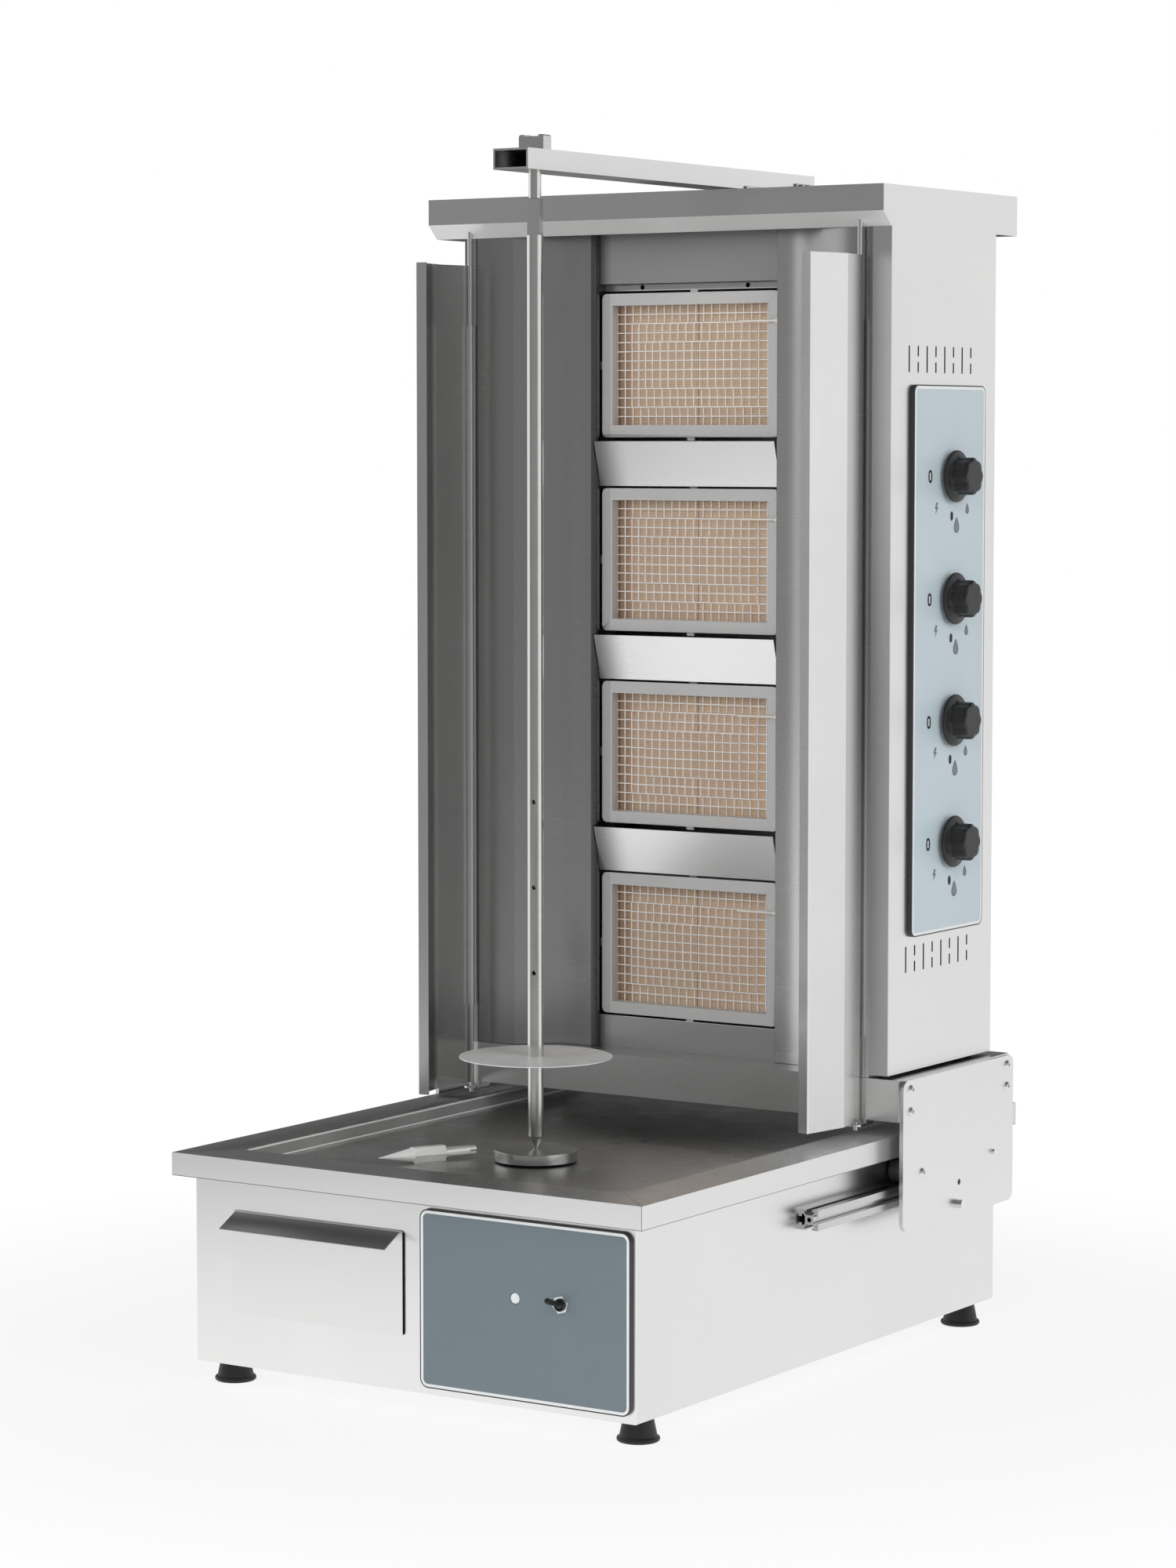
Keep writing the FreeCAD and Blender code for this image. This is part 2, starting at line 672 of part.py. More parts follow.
def slide_rail():
    """The right T-slot rail: four slots and a bore along a square bar."""
    x = CABINET_X + RAIL_SIZE / 2
    z = RAIL_CENTRE_Z
    half = RAIL_SIZE / 2
    bar = box(x - half, x + half, RAIL_FRONT, CABINET_Y, z - half, z + half)
    mouth = box(x - RAIL_SLOT / 2, x + RAIL_SLOT / 2, RAIL_FRONT, CABINET_Y, z + half - RAIL_LIP, z + half)
    cavity_top = z + half - RAIL_LIP
    cavity_half = RAIL_CAVITY_WIDTH / 2
    narrow = RAIL_SLOT / 2
    cavity = prism([Vector(x - cavity_half, RAIL_FRONT, cavity_top),
                    Vector(x + cavity_half, RAIL_FRONT, cavity_top),
                    Vector(x + cavity_half, RAIL_FRONT, cavity_top - RAIL_CAVITY_DEPTH / 2),
                    Vector(x + narrow, RAIL_FRONT, cavity_top - RAIL_CAVITY_DEPTH),
                    Vector(x - narrow, RAIL_FRONT, cavity_top - RAIL_CAVITY_DEPTH),
                    Vector(x - cavity_half, RAIL_FRONT, cavity_top - RAIL_CAVITY_DEPTH / 2)],
                   BACKWARD * (CABINET_Y - RAIL_FRONT))
    for quarter in range(4):
        for slot in (mouth, cavity):
            turned = slot.copy()
            turned.rotate(Vector(x, 0, z), BACKWARD, 90 * quarter)
            bar = bar.cut(turned)
    return bar.cut(rod(Vector(x, RAIL_FRONT, z), Vector(x, CABINET_Y, z), RAIL_BORE_RADIUS))


def slide_rails():
    """The pair of rails."""
    right = slide_rail()
    return Part.makeCompound([mirrored(right), right])


def drawer_runners():
    """Two angle rails that the drawer tray slides on."""
    left, right, bottom, _ = drawer_opening()
    front = -CABINET_Y + CABINET_SHEET
    rear = front + DRAWER_TRAY_DEPTH
    seat = tray_bottom() - SLIDE_GAP
    runners = []
    for wall, inward in ((left, 1), (right, -1)):
        under = seat - CABINET_SHEET
        path = [(wall, seat + RUNNER_LEG), (wall, under), (wall + inward * RUNNER_LEG, under)]
        outline = path + left_offset(path, inward * CABINET_SHEET)[::-1]
        runners.append(prism([Vector(x, front, z) for x, z in outline], BACKWARD * (rear - front)))
    return Part.makeCompound(runners)


def tray_bottom():
    """Height of the underside of the drawer tray."""
    return drawer_opening()[2] + CABINET_SHEET + SLIDE_GAP + RUNNER_GAP


def drawer_tray():
    """Open tray behind the drawer front."""
    left, right, _, top = drawer_opening()
    x0 = left + CABINET_SHEET + RUNNER_GAP
    x1 = right - CABINET_SHEET - RUNNER_GAP
    y0 = -CABINET_Y
    y1 = y0 + DRAWER_TRAY_DEPTH
    z0 = tray_bottom()
    z1 = top - DRAWER_TRAY_DROP
    tray = box(x0, x1, y0, y1, z0, z1)
    sheet = DRAWER_SHEET
    return tray.cut(box(x0 + sheet, x1 - sheet, y0 + sheet, y1 - sheet, z0 + sheet, z1))


def drawer_front():
    """Drawer face with the slanted lip that is its handle."""
    x0 = DRAWER_LEFT
    x1 = DRAWER_LEFT + DRAWER_WIDTH
    front = -CABINET_Y - DRAWER_FACE
    top = DRAWER_BOTTOM + DRAWER_HEIGHT
    face = rounded_box(x0, x1, front, -CABINET_Y, DRAWER_BOTTOM, top, DRAWER_CORNER, BACKWARD)
    path = [(front + DRAWER_FACE, top), (front + DRAWER_FACE - LIP_REACH - DRAWER_FACE, top - LIP_DROP)]
    inset = DRAWER_CORNER
    lip = folded_across(path, LIP_SHEET, x0 + inset, x1 - inset)
    keep = box(x0, x1, front - 2 * LIP_REACH, -CABINET_Y, DRAWER_BOTTOM, top)
    return face.fuse(lip.common(keep))


def front_panel():
    """Control panel plate on the cabinet front."""
    x0 = FRONT_PANEL_LEFT
    x1 = x0 + FRONT_PANEL_WIDTH
    z0 = FRONT_PANEL_BOTTOM
    z1 = z0 + FRONT_PANEL_HEIGHT
    face = -CABINET_Y - FRONT_PANEL_PROUD
    plate = rounded_box(x0, x1, face, -CABINET_Y, z0, z1, FRONT_PANEL_CORNER, BACKWARD)
    holes = ((LAMP_X, LAMP_Z, LAMP_RADIUS + LAMP_HOLE_GAP), (SWITCH_X, SWITCH_Z, SWITCH_BUSH_RADIUS))
    for x, z, radius in holes:
        plate = plate.cut(rod(Vector(x, face, z), Vector(x, -CABINET_Y, z), radius))
    return plate


def pilot_lamp():
    """Lamp lens set a little below the panel face."""
    face = -CABINET_Y - FRONT_PANEL_PROUD + LAMP_RECESS
    lens = rod(Vector(LAMP_X, face, LAMP_Z), Vector(LAMP_X, -CABINET_Y, LAMP_Z), LAMP_RADIUS)
    seat = Vector(LAMP_X, -CABINET_Y, LAMP_Z)
    holder = rod(seat, seat + BACKWARD * LAMP_LENGTH, LAMP_HOLDER_RADIUS)
    return Part.makeCompound([lens, holder])


def switch_pivot():
    """Point that the switch lever tilts about."""
    bush_front = -CABINET_Y - FRONT_PANEL_PROUD - SWITCH_BUSH_PROUD
    return Vector(SWITCH_X, bush_front + LEVER_PIVOT_DEPTH, SWITCH_Z)


def switch_pin(radius):
    """Cross pin that the switch lever tilts on, or with a wider radius the hole for it."""
    half = RIGHTWARD * (SWITCH_BUSH_RADIUS - LEVER_PIN_INSET)
    return rod(switch_pivot() - half, switch_pivot() + half, radius)


def switch_body():
    """Toggle switch: contact box behind the panel and the bush through it."""
    half_width = SWITCH_BOX_WIDTH / 2
    half_height = SWITCH_BOX_HEIGHT / 2
    block = box(SWITCH_X - half_width, SWITCH_X + half_width, -CABINET_Y, -CABINET_Y + SWITCH_BOX_DEPTH,
                SWITCH_Z - half_height, SWITCH_Z + half_height)
    seat = Vector(SWITCH_X, -CABINET_Y, SWITCH_Z)
    bush_front = seat - BACKWARD * (FRONT_PANEL_PROUD + SWITCH_BUSH_PROUD)
    bush = rod(bush_front, seat, SWITCH_BUSH_RADIUS)
    rim = [edge for edge in bush.Edges if len(edge.Vertexes) == 1 and edge.CenterOfMass.y < seat.y - 1]
    bush = bush.makeFillet(SWITCH_BUSH_EDGE, rim)
    socket_radius = LEVER_BALL_RADIUS + SLIDE_GAP
    socket = Part.makeSphere(socket_radius, switch_pivot())
    mouth = rod(bush_front, switch_pivot(), socket_radius)
    return block.fuse(bush).cut(socket).cut(mouth).cut(switch_pin(LEVER_PIN_RADIUS + SHAFT_FIT))


def switch_nut():
    """Hexagon nut on the bush, tightened against the panel at an odd angle."""
    face = Vector(SWITCH_X, -CABINET_Y - FRONT_PANEL_PROUD, SWITCH_Z)
    nut = hexagon_bar(face, BACKWARD * -SWITCH_NUT, SWITCH_NUT_ACROSS_FLATS)
    nut.rotate(face, BACKWARD, -SWITCH_NUT_TURN)
    return nut.cut(rod(face, face - BACKWARD * SWITCH_NUT, SWITCH_BUSH_RADIUS))


def switch_lever():
    """Tapered toggle lever on its ball and cross pin, tilted up."""
    pivot = switch_pivot()
    ball = Part.makeSphere(LEVER_BALL_RADIUS, pivot)
    shank = LEVER_LENGTH - LEVER_TIP_RADIUS
    stem = Part.makeCone(LEVER_ROOT_RADIUS, LEVER_TIP_RADIUS, shank, pivot, BACKWARD * -1)
    end = Part.makeSphere(LEVER_TIP_RADIUS, pivot - BACKWARD * shank)
    lever = ball.fuse(stem).fuse(end)
    lever.rotate(pivot, RIGHTWARD, -LEVER_TILT)
    return lever.fuse(switch_pin(LEVER_PIN_RADIUS))


def gearbox_span():
    """Left, right and top of the gearbox."""
    left = SPIT_X - GEARBOX_SIDE_MARGIN
    return left, left + GEARBOX_WIDTH, PAN_UNDER - BEARING_HEIGHT


def motor_axis_x():
    """Place along X of the motor under the gearbox."""
    return gearbox_span()[1] - MOTOR_RADIUS


def gearmotor():
    """Gearbox with its motor hanging below it."""
    left, right, top = gearbox_span()
    half = GEARBOX_DEPTH / 2
    bottom = top - GEARBOX_HEIGHT
    gearbox = box(left, right, SPIT_Y - half, SPIT_Y + half, bottom, top)
    shaft_end = PAN_FLOOR - SHAFT_DROP - SLIDE_GAP
    gearbox = gearbox.cut(on_axis(shaft_end, top, SHAFT_RADIUS + SHAFT_FIT))
    motor = rod_z(motor_axis_x(), SPIT_Y, bottom - MOTOR_LENGTH, bottom, MOTOR_RADIUS)
    return Part.makeCompound([gearbox, motor])


def spindle_bearing():
    """Flanged bearing housing between the pan and the gearbox."""
    top = PAN_UNDER
    flange = on_axis(top - BEARING_FLANGE, top, BEARING_FLANGE_RADIUS)
    boss = on_axis(top - BEARING_HEIGHT, top, BEARING_BOSS_RADIUS)
    bore = on_axis(top - BEARING_HEIGHT, top, SHAFT_RADIUS + SHAFT_FIT)
    wall_face = drawer_opening()[1] + CABINET_SHEET
    room = box(wall_face, SPIT_X + BEARING_FLANGE_RADIUS, SPIT_Y - BEARING_FLANGE_RADIUS,
               SPIT_Y + BEARING_FLANGE_RADIUS, top - BEARING_HEIGHT, top)
    return flange.fuse(boss).cut(bore).common(room)


def base_screws():
    """Foot studs, rail bolts with their T-nuts, gearbox standoffs and the nut of the switch."""
    pieces = [switch_nut()]
    floor = FOOT_HEIGHT + CABINET_SHEET
    for x, y in foot_places():
        stud = rod_z(x, y, FOOT_HEIGHT, FOOT_HEIGHT + FOOT_STUD_LENGTH, FOOT_STUD_RADIUS)
        nut = hexagon_bar(Vector(x, y, floor), UP * FOOT_NUT, FOOT_NUT_ACROSS_FLATS)
        pieces.append(stud.fuse(nut))
    inner = CABINET_X - CABINET_SHEET
    nut_face = CABINET_X + RAIL_LIP
    half = RAIL_NUT_SIDE / 2
    for y in rail_bolt_places():
        head = rod_x(inner - RAIL_BOLT_HEAD, inner, y, RAIL_CENTRE_Z, RAIL_BOLT_HEAD_RADIUS)
        shank = rod_x(inner, nut_face, y, RAIL_CENTRE_Z, RAIL_BOLT_RADIUS)
        slab = box(nut_face, nut_face + RAIL_NUT_HEIGHT, y - half, y + half,
                   RAIL_CENTRE_Z - half, RAIL_CENTRE_Z + half)
        bolt = head.fuse(shank).fuse(slab)
        pieces += [bolt, mirrored(bolt)]
    left, right, top = gearbox_span()
    inset = STANDOFF_SIDE_INSET
    reach = GEARBOX_DEPTH / 2 - STANDOFF_RADIUS
    for x in (left + inset, right - inset):
        for y in (SPIT_Y - reach, SPIT_Y + reach):
            pieces.append(rod_z(x, y, top, PAN_UNDER, STANDOFF_RADIUS))
    return Part.makeCompound(pieces)


# The turning spit

def on_axis(bottom, top, radius):
    """A round bar on the spit axis."""
    return rod(Vector(SPIT_X, SPIT_Y, bottom), Vector(SPIT_X, SPIT_Y, top), radius)


def drive_shaft():
    """Shaft from the gearbox up into the puck."""
    return on_axis(PAN_FLOOR - SHAFT_DROP, PAN_FLOOR + PUCK_LIFT + SHAFT_IN_PUCK, SHAFT_RADIUS)


def drive_puck():
    """Round plate that carries the foot of the spit."""
    bottom = PAN_FLOOR + PUCK_LIFT
    puck = on_axis(bottom, PUCK_TOP, PUCK_RADIUS)
    puck = puck.makeFillet(PUCK_EDGE, [edge for edge in puck.Edges if len(edge.Vertexes) == 1])
    puck = puck.cut(on_axis(bottom, bottom + SHAFT_IN_PUCK, SHAFT_RADIUS))
    return puck.cut(on_axis(TIP_TOP - TIP_HEIGHT - TIP_SPIGOT, PUCK_TOP, TIP_POINT_RADIUS))


def spit_tip():
    """Six-sided point under the spit tube, with the spigot that stands in the puck."""
    bottom = TIP_TOP - TIP_HEIGHT
    rings = []
    for z, radius in ((bottom, TIP_POINT_RADIUS), (TIP_TOP, TUBE_FOOT_RADIUS)):
        corners = []
        for step in range(7):
            angle = math.radians(60 * step + SOCKET_TURN)
            corners.append(Vector(SPIT_X + radius * math.cos(angle), SPIT_Y + radius * math.sin(angle), z))
        rings.append(Part.makePolygon(corners))
    point = Part.makeLoft(rings, True, True)
    spigot = on_axis(bottom - TIP_SPIGOT, bottom + TIP_JOINT, TIP_POINT_RADIUS)
    plug = on_axis(TIP_TOP - TIP_JOINT, TIP_TOP + SOCKET_PLUG, TUBE_BORE_RADIUS)
    return point.fuse(spigot).fuse(plug)


def spit_tube():
    """Tube of the spit: thinner below the disc, with cross holes for skewer pins."""
    tube = on_axis(TIP_TOP, DISC_HEIGHT + DISC_SHEET, TUBE_FOOT_RADIUS)
    tube = tube.fuse(on_axis(DISC_HEIGHT + DISC_SHEET, SOCKET_BOTTOM, TUBE_RADIUS))
    tube = tube.cut(on_axis(TIP_TOP, SOCKET_BOTTOM, TUBE_BORE_RADIUS))
    view_turn = math.radians(SOCKET_TURN - 90)
    along = Vector(math.cos(view_turn), math.sin(view_turn), 0)
    for index in range(CROSS_HOLE_COUNT):
        centre = Vector(SPIT_X, SPIT_Y, CROSS_HOLE_FIRST + index * CROSS_HOLE_PITCH)
        tube = tube.cut(rod(centre - along * TUBE_RADIUS, centre + along * TUBE_RADIUS, CROSS_HOLE_RADIUS))
    return tube


def spit_disc():
    """Thin plate that the meat stands on, held against the shoulder of the tube."""
    disc = on_axis(DISC_HEIGHT, DISC_HEIGHT + DISC_SHEET, DISC_RADIUS)
    return disc.cut(on_axis(DISC_HEIGHT, DISC_HEIGHT + DISC_SHEET, TUBE_FOOT_RADIUS))


def spit_socket():
    """Square head of the spit, bored for the lifting pin."""
    half = SOCKET_SIDE / 2
    head = box(SPIT_X - half, SPIT_X + half, SPIT_Y - half, SPIT_Y + half, SOCKET_BOTTOM, SOCKET_TOP)
    head.rotate(Vector(SPIT_X, SPIT_Y, 0), UP, SOCKET_TURN)
    head = head.fuse(on_axis(SOCKET_BOTTOM - SOCKET_PLUG, SOCKET_BOTTOM, TUBE_BORE_RADIUS))
    bore_bottom = SOCKET_TOP + PIN_GAP_BELOW - SPIGOT_LENGTH - SPIGOT_END_GAP
    return head.cut(on_axis(bore_bottom, SOCKET_TOP, SPIGOT_RADIUS + SHAFT_FIT))


# The top arm and the pin in it

def arm_tube():
    """Rectangular tube that reaches over the spit."""
    half = ARM_WIDTH / 2
    tube = box(SPIT_X - half, SPIT_X + half, ARM_FRONT, ARM_REAR, ARM_BOTTOM, ARM_TOP)
    wall = ARM_WALL
    tube = tube.cut(box(SPIT_X - half + wall, SPIT_X + half - wall, ARM_FRONT, ARM_REAR,
                        ARM_BOTTOM + wall, ARM_TOP - wall))
    return tube.cut(on_axis(ARM_BOTTOM, ARM_TOP, PIN_RADIUS + SHAFT_FIT))


def top_pin():
    """Round pin through the arm, with a thinner spigot in the head of the spit."""
    shoulder = SOCKET_TOP + PIN_GAP_BELOW
    pin = on_axis(shoulder, ARM_TOP, PIN_RADIUS)
    return pin.fuse(on_axis(shoulder - SPIGOT_LENGTH, shoulder, SPIGOT_RADIUS))


def top_pin_grip():
    """Block on the pin, grooved across its top, that rests on the arm."""
    half_x = GRIP_WIDTH / 2
    half_y = GRIP_DEPTH / 2
    top = ARM_TOP + GRIP_HEIGHT
    block = box(SPIT_X - half_x, SPIT_X + half_x, SPIT_Y - half_y, SPIT_Y + half_y, ARM_TOP, top)
    edges = [edge for edge in block.Edges
             if abs(edge.CenterOfMass.z - top) < 1e-6 and abs(edge.CenterOfMass.y - SPIT_Y) < 1e-6]
    block = block.makeFillet(GRIP_CORNER, edges)
    groove = GRIP_GROOVE_WIDTH / 2
    return block.cut(box(SPIT_X - groove, SPIT_X + groove, SPIT_Y - half_y, SPIT_Y + half_y,
                         top - GRIP_GROOVE_DEPTH, top))


def arm_guide(front, cheek):
    """One saddle on the hood: a base under the arm and a low cheek at each side."""
    half = ARM_WIDTH / 2
    inner = half + SLIDE_GAP
    outer = inner + GUIDE_WALL
    rear = front + GUIDE_LENGTH
    seat = ARM_BOTTOM - SLIDE_GAP
    saddle = centred_box(SPIT_X, outer, front, rear, HOOD_TOP, seat + cheek)
    return saddle.cut(centred_box(SPIT_X, inner, front, rear, seat, seat + cheek))


def arm_guides():
    """Front and rear saddles, and the two clamp screws of the rear one."""
    rear = arm_guide(GUIDE_REAR_Y, GUIDE_CHEEK_REAR)
    face = SPIT_X + ARM_WIDTH / 2 + SLIDE_GAP + GUIDE_WALL
    screws = []
    screw_z = ARM_BOTTOM + GUIDE_CHEEK_REAR - CLAMP_SCREW_DROP
    for share in CLAMP_SCREW_SHARES:
        seat = Vector(face, GUIDE_REAR_Y + share * GUIDE_LENGTH, screw_z)
        screws.append(rod(seat, seat + RIGHTWARD * CLAMP_SCREW_RADIUS, CLAMP_SCREW_RADIUS))
    return Part.makeCompound([arm_guide(GUIDE_FRONT_Y, GUIDE_CHEEK_FRONT), rear] + screws)


def spare_tip():
    """Spare point lying in the pan: a cone, a hexagon body and a slotted shank."""
    z = PAN_FLOOR + SPARE_ACROSS_FLATS / 2
    start = Vector(0, 0, z)
    body_start = start + RIGHTWARD * SPARE_CONE
    body = hexagon_bar(body_start, RIGHTWARD * SPARE_BODY, SPARE_ACROSS_FLATS)
    cone = Part.makeCone(SPARE_POINT_RADIUS, SPARE_ACROSS_FLATS / 2, SPARE_CONE, start, RIGHTWARD)
    shank_start = body_start + RIGHTWARD * SPARE_BODY
    shank_end = shank_start + RIGHTWARD * SPARE_SHANK
    shank = rod(shank_start, shank_end, SPARE_SHANK_RADIUS)
    slot = box(shank_end.x - SPARE_SLOT_DEPTH, shank_end.x, -SPARE_SHANK_RADIUS, SPARE_SHANK_RADIUS,
               z - SPARE_SLOT / 2, z + SPARE_SLOT / 2)
    tip = body.fuse(cone).fuse(shank).cut(slot)
    tip.rotate(Vector(0, 0, z), UP, SPARE_TURN)
    tip.translate(Vector(SPARE_X, SPARE_Y, 0))
    return tip


# The carriage that slides on the rails

def carriage_frame():
    """Inverted tray under the tower, with a lip along the front and the two hinge tabs."""
    tray = box(CARRIAGE_LEFT, CARRIAGE_RIGHT, CARRIAGE_FRONT, CARRIAGE_REAR, CARRIAGE_BOTTOM, CARRIAGE_TOP)
    sheet = TOWER_SHEET
    lip_back = CARRIAGE_FRONT + CARRIAGE_LIP
    inner_left = CARRIAGE_LEFT + sheet
    inner_right = CARRIAGE_RIGHT - sheet
    inner_rear = CARRIAGE_REAR - sheet
    tray = tray.cut(box(inner_left, inner_right, CARRIAGE_FRONT + sheet, inner_rear,
                        CARRIAGE_BOTTOM + sheet, CARRIAGE_TOP - sheet))
    tray = tray.cut(box(inner_left, inner_right, lip_back, inner_rear,
                        CARRIAGE_BOTTOM, CARRIAGE_BOTTOM + sheet))
    half = HINGE_TAB_WIDTH / 2
    for side in (-1, 1):
        x = SPIT_X + side * HINGE_OFFSET
        tab_bottom = HINGE_TAB_TOP - HINGE_TAB_SHEET
        tab = centred_box(x, half, HINGE_Y, lip_back, tab_bottom, HINGE_TAB_TOP)
        tab = tab.fuse(rod_z(x, HINGE_Y, tab_bottom, HINGE_TAB_TOP, half))
        tab = tab.fuse(centred_box(x, half, CARRIAGE_FRONT + sheet, lip_back, HINGE_TAB_TOP, CARRIAGE_BOTTOM))
        tab = tab.cut(rod_z(x, HINGE_Y, tab_bottom, HINGE_TAB_TOP, DOOR_PIN_RADIUS + SHAFT_FIT))
        tray = tray.fuse(tab)
    for x0 in (CARRIAGE_LEFT, CARRIAGE_RIGHT - sheet):
        for y, z in plate_screw_places():
            tray = tray.cut(rod_x(x0, x0 + sheet, y, z, PLATE_SCREW_RADIUS))
    return tray


def plate_screw_places():
    """Places of the four screws in each carriage plate."""
    return [(y, z) for y in PLATE_SCREW_Y for z in PLATE_SCREW_Z]


def roller_places():
    """Y, Z and radius of the rollers on one side."""
    upper = [(y, UPPER_ROLLER_Z, UPPER_ROLLER_RADIUS) for y in UPPER_ROLLER_Y]
    return upper + [(LOWER_ROLLER_Y, LOWER_ROLLER_Z, LOWER_ROLLER_RADIUS)]


def carriage_plate(x0):
    """One upright side plate that reaches down past the rail."""
    plate = rounded_box(x0, x0 + PLATE_THICKNESS, PLATE_FRONT, PLATE_REAR, PLATE_BOTTOM, PLATE_TOP,
                        PLATE_CORNER, RIGHTWARD)
    holes = [(y, z, PLATE_SCREW_RADIUS) for y, z in plate_screw_places()]
    holes += [(y, z, AXLE_RADIUS) for y, z, _ in roller_places()]
    holes.append((PLATE_HOLE_Y, PLATE_HOLE_Z, PLATE_HOLE_RADIUS))
    for y, z, radius in holes:
        plate = plate.cut(rod_x(x0, x0 + PLATE_THICKNESS, y, z, radius))
    return plate


def carriage_plates():
    """The pair of side plates."""
    left = carriage_plate(CARRIAGE_LEFT - PLATE_THICKNESS)
    return Part.makeCompound([left, carriage_plate(CARRIAGE_RIGHT)])


def button_head(seat, outward, radius, height):
    """Low domed screw head on a seat."""
    head = Part.makeCone(radius, radius * SCREW_HEAD_TOP_SHARE, height, seat, outward)
    socket_floor = seat + outward * (height * (1 - SCREW_SOCKET_DEPTH_SHARE))
    socket = hexagon_bar(socket_floor, outward * height, radius * SCREW_SOCKET_SHARE)
    return head.cut(socket)


def axle_ends(plate_face, outward):
    """Outer ends of the front, rear and lower axle: a button head, a pin and a hexagon head."""
    front, rear, lower = [Vector(plate_face, y, z) for y, z, _ in roller_places()]
    return [button_head(front, outward, PLATE_SCREW_HEAD_RADIUS, PLATE_SCREW_HEAD),
            rod(rear, rear + outward * AXLE_PIN, AXLE_PIN_RADIUS),
            hexagon_bar(lower, outward * AXLE_BOLT, AXLE_BOLT_ACROSS_FLATS)]


def tower_screws():
    """Plate screws and roller axles on both sides of the carriage."""
    pieces = []
    for side, plate_face, inner in ((1, CARRIAGE_RIGHT + PLATE_THICKNESS, CARRIAGE_RIGHT - TOWER_SHEET),
                                    (-1, CARRIAGE_LEFT - PLATE_THICKNESS, CARRIAGE_LEFT + TOWER_SHEET)):
        outward = RIGHTWARD * side
        for y, z in plate_screw_places():
            seat = Vector(plate_face, y, z)
            head = button_head(seat, outward, PLATE_SCREW_HEAD_RADIUS, PLATE_SCREW_HEAD)
            shank = rod(Vector(inner - side * PLATE_SCREW_HEAD, y, z), seat, PLATE_SCREW_RADIUS)
            pieces.append(head.fuse(shank))
        axle_end = side * (CABINET_X + RAIL_SIZE / 2 - ROLLER_WIDTH / 2)
        for (y, z, _), end in zip(roller_places(), axle_ends(plate_face, outward)):
            axle = rod(Vector(axle_end, y, z), Vector(plate_face, y, z), AXLE_RADIUS)
            pieces.append(end.fuse(axle))
    return Part.makeCompound(pieces)


def roller(side, y, z, radius):
    """Plain roller that runs on its axle."""
    middle = side * (CABINET_X + RAIL_SIZE / 2)
    half = ROLLER_WIDTH / 2
    wheel = rod_x(middle - half, middle + half, y, z, radius)
    wheel = wheel.makeChamfer(ROLLER_EDGE, [edge for edge in wheel.Edges if len(edge.Vertexes) == 1])
    return wheel.cut(rod_x(middle - half, middle + half, y, z, AXLE_RADIUS + SHAFT_FIT))


# The tower

def tower_side():
    """Plain left side sheet of the tower."""
    outer = SPIT_X - CORE_HALF_WIDTH + REFLECTOR_SHEET
    front = TOWER_FRONT + REFLECTOR_SHEET
    rear = TOWER_REAR - TOWER_SHEET
    return box(outer, outer + TOWER_SHEET, front, rear, CARRIAGE_TOP, HOOD_TOP - TOWER_SHEET)


def control_housing():
    """Folded housing at the right that carries the knobs, with two groups of air slots."""
    path = [(HOUSING_LEFT, TOWER_FRONT + HOUSING_FLANGE), (HOUSING_LEFT, TOWER_FRONT),
            (HOUSING_RIGHT, TOWER_FRONT), (HOUSING_RIGHT, TOWER_REAR), (HOUSING_LEFT, TOWER_REAR)]
    bottom = CARRIAGE_TOP + HOUSING_BOTTOM_GAP
    housing = folded_upright(path, TOWER_SHEET, bottom, HOOD_BOTTOM)
    inner = HOUSING_RIGHT - TOWER_SHEET
    for base in (VENT_LOWER_Z, VENT_UPPER_Z):
        for index in range(VENT_COUNT):
            y = VENT_FIRST_Y + index * VENT_PITCH
            spans = [(base, base + VENT_HEIGHT)]
            if index % 2:
                middle = base + VENT_HEIGHT / 2
                spans = [(base, middle - VENT_BRIDGE / 2), (middle + VENT_BRIDGE / 2, base + VENT_HEIGHT)]
            for z0, z1 in spans:
                slot = rounded_box(inner, HOUSING_RIGHT, y - VENT_WIDTH / 2, y + VENT_WIDTH / 2, z0, z1,
                                   VENT_CORNER, RIGHTWARD)
                housing = housing.cut(slot)
    for z in KNOB_HEIGHTS:
        housing = housing.cut(rod_x(inner, HOUSING_RIGHT, KNOB_Y, z, SPINDLE_RADIUS + SPINDLE_HOLE_GAP))
    return housing


def tower_back():
    """Rear sheet of the tower with air slots and the hole for the gas inlet."""
    left = SPIT_X - CORE_HALF_WIDTH + REFLECTOR_SHEET
    face = TOWER_REAR - TOWER_SHEET
    top = HOOD_TOP - TOWER_SHEET
    sheet = box(left, HOUSING_LEFT, face, TOWER_REAR, CARRIAGE_TOP, top)
    for centre in BURNER_TOPS:
        for side in (-1, 1):
            for row in range(BACK_SLOT_ROWS):
                x = SPIT_X + side * TOWER_SLOT_X
                z = centre - BURNER_HEIGHT / 2 + (row - (BACK_SLOT_ROWS - 1) / 2) * BACK_SLOT_PITCH
                sheet = sheet.cut(box(x - BACK_SLOT_WIDTH / 2, x + BACK_SLOT_WIDTH / 2, face, TOWER_REAR,
                                      z - BACK_SLOT_HEIGHT / 2, z + BACK_SLOT_HEIGHT / 2))
    inlet = Vector(MANIFOLD_X, face, MANIFOLD_BOTTOM)
    return sheet.cut(rod(inlet, inlet + BACKWARD * TOWER_SHEET, MANIFOLD_RADIUS + SHAFT_FIT))


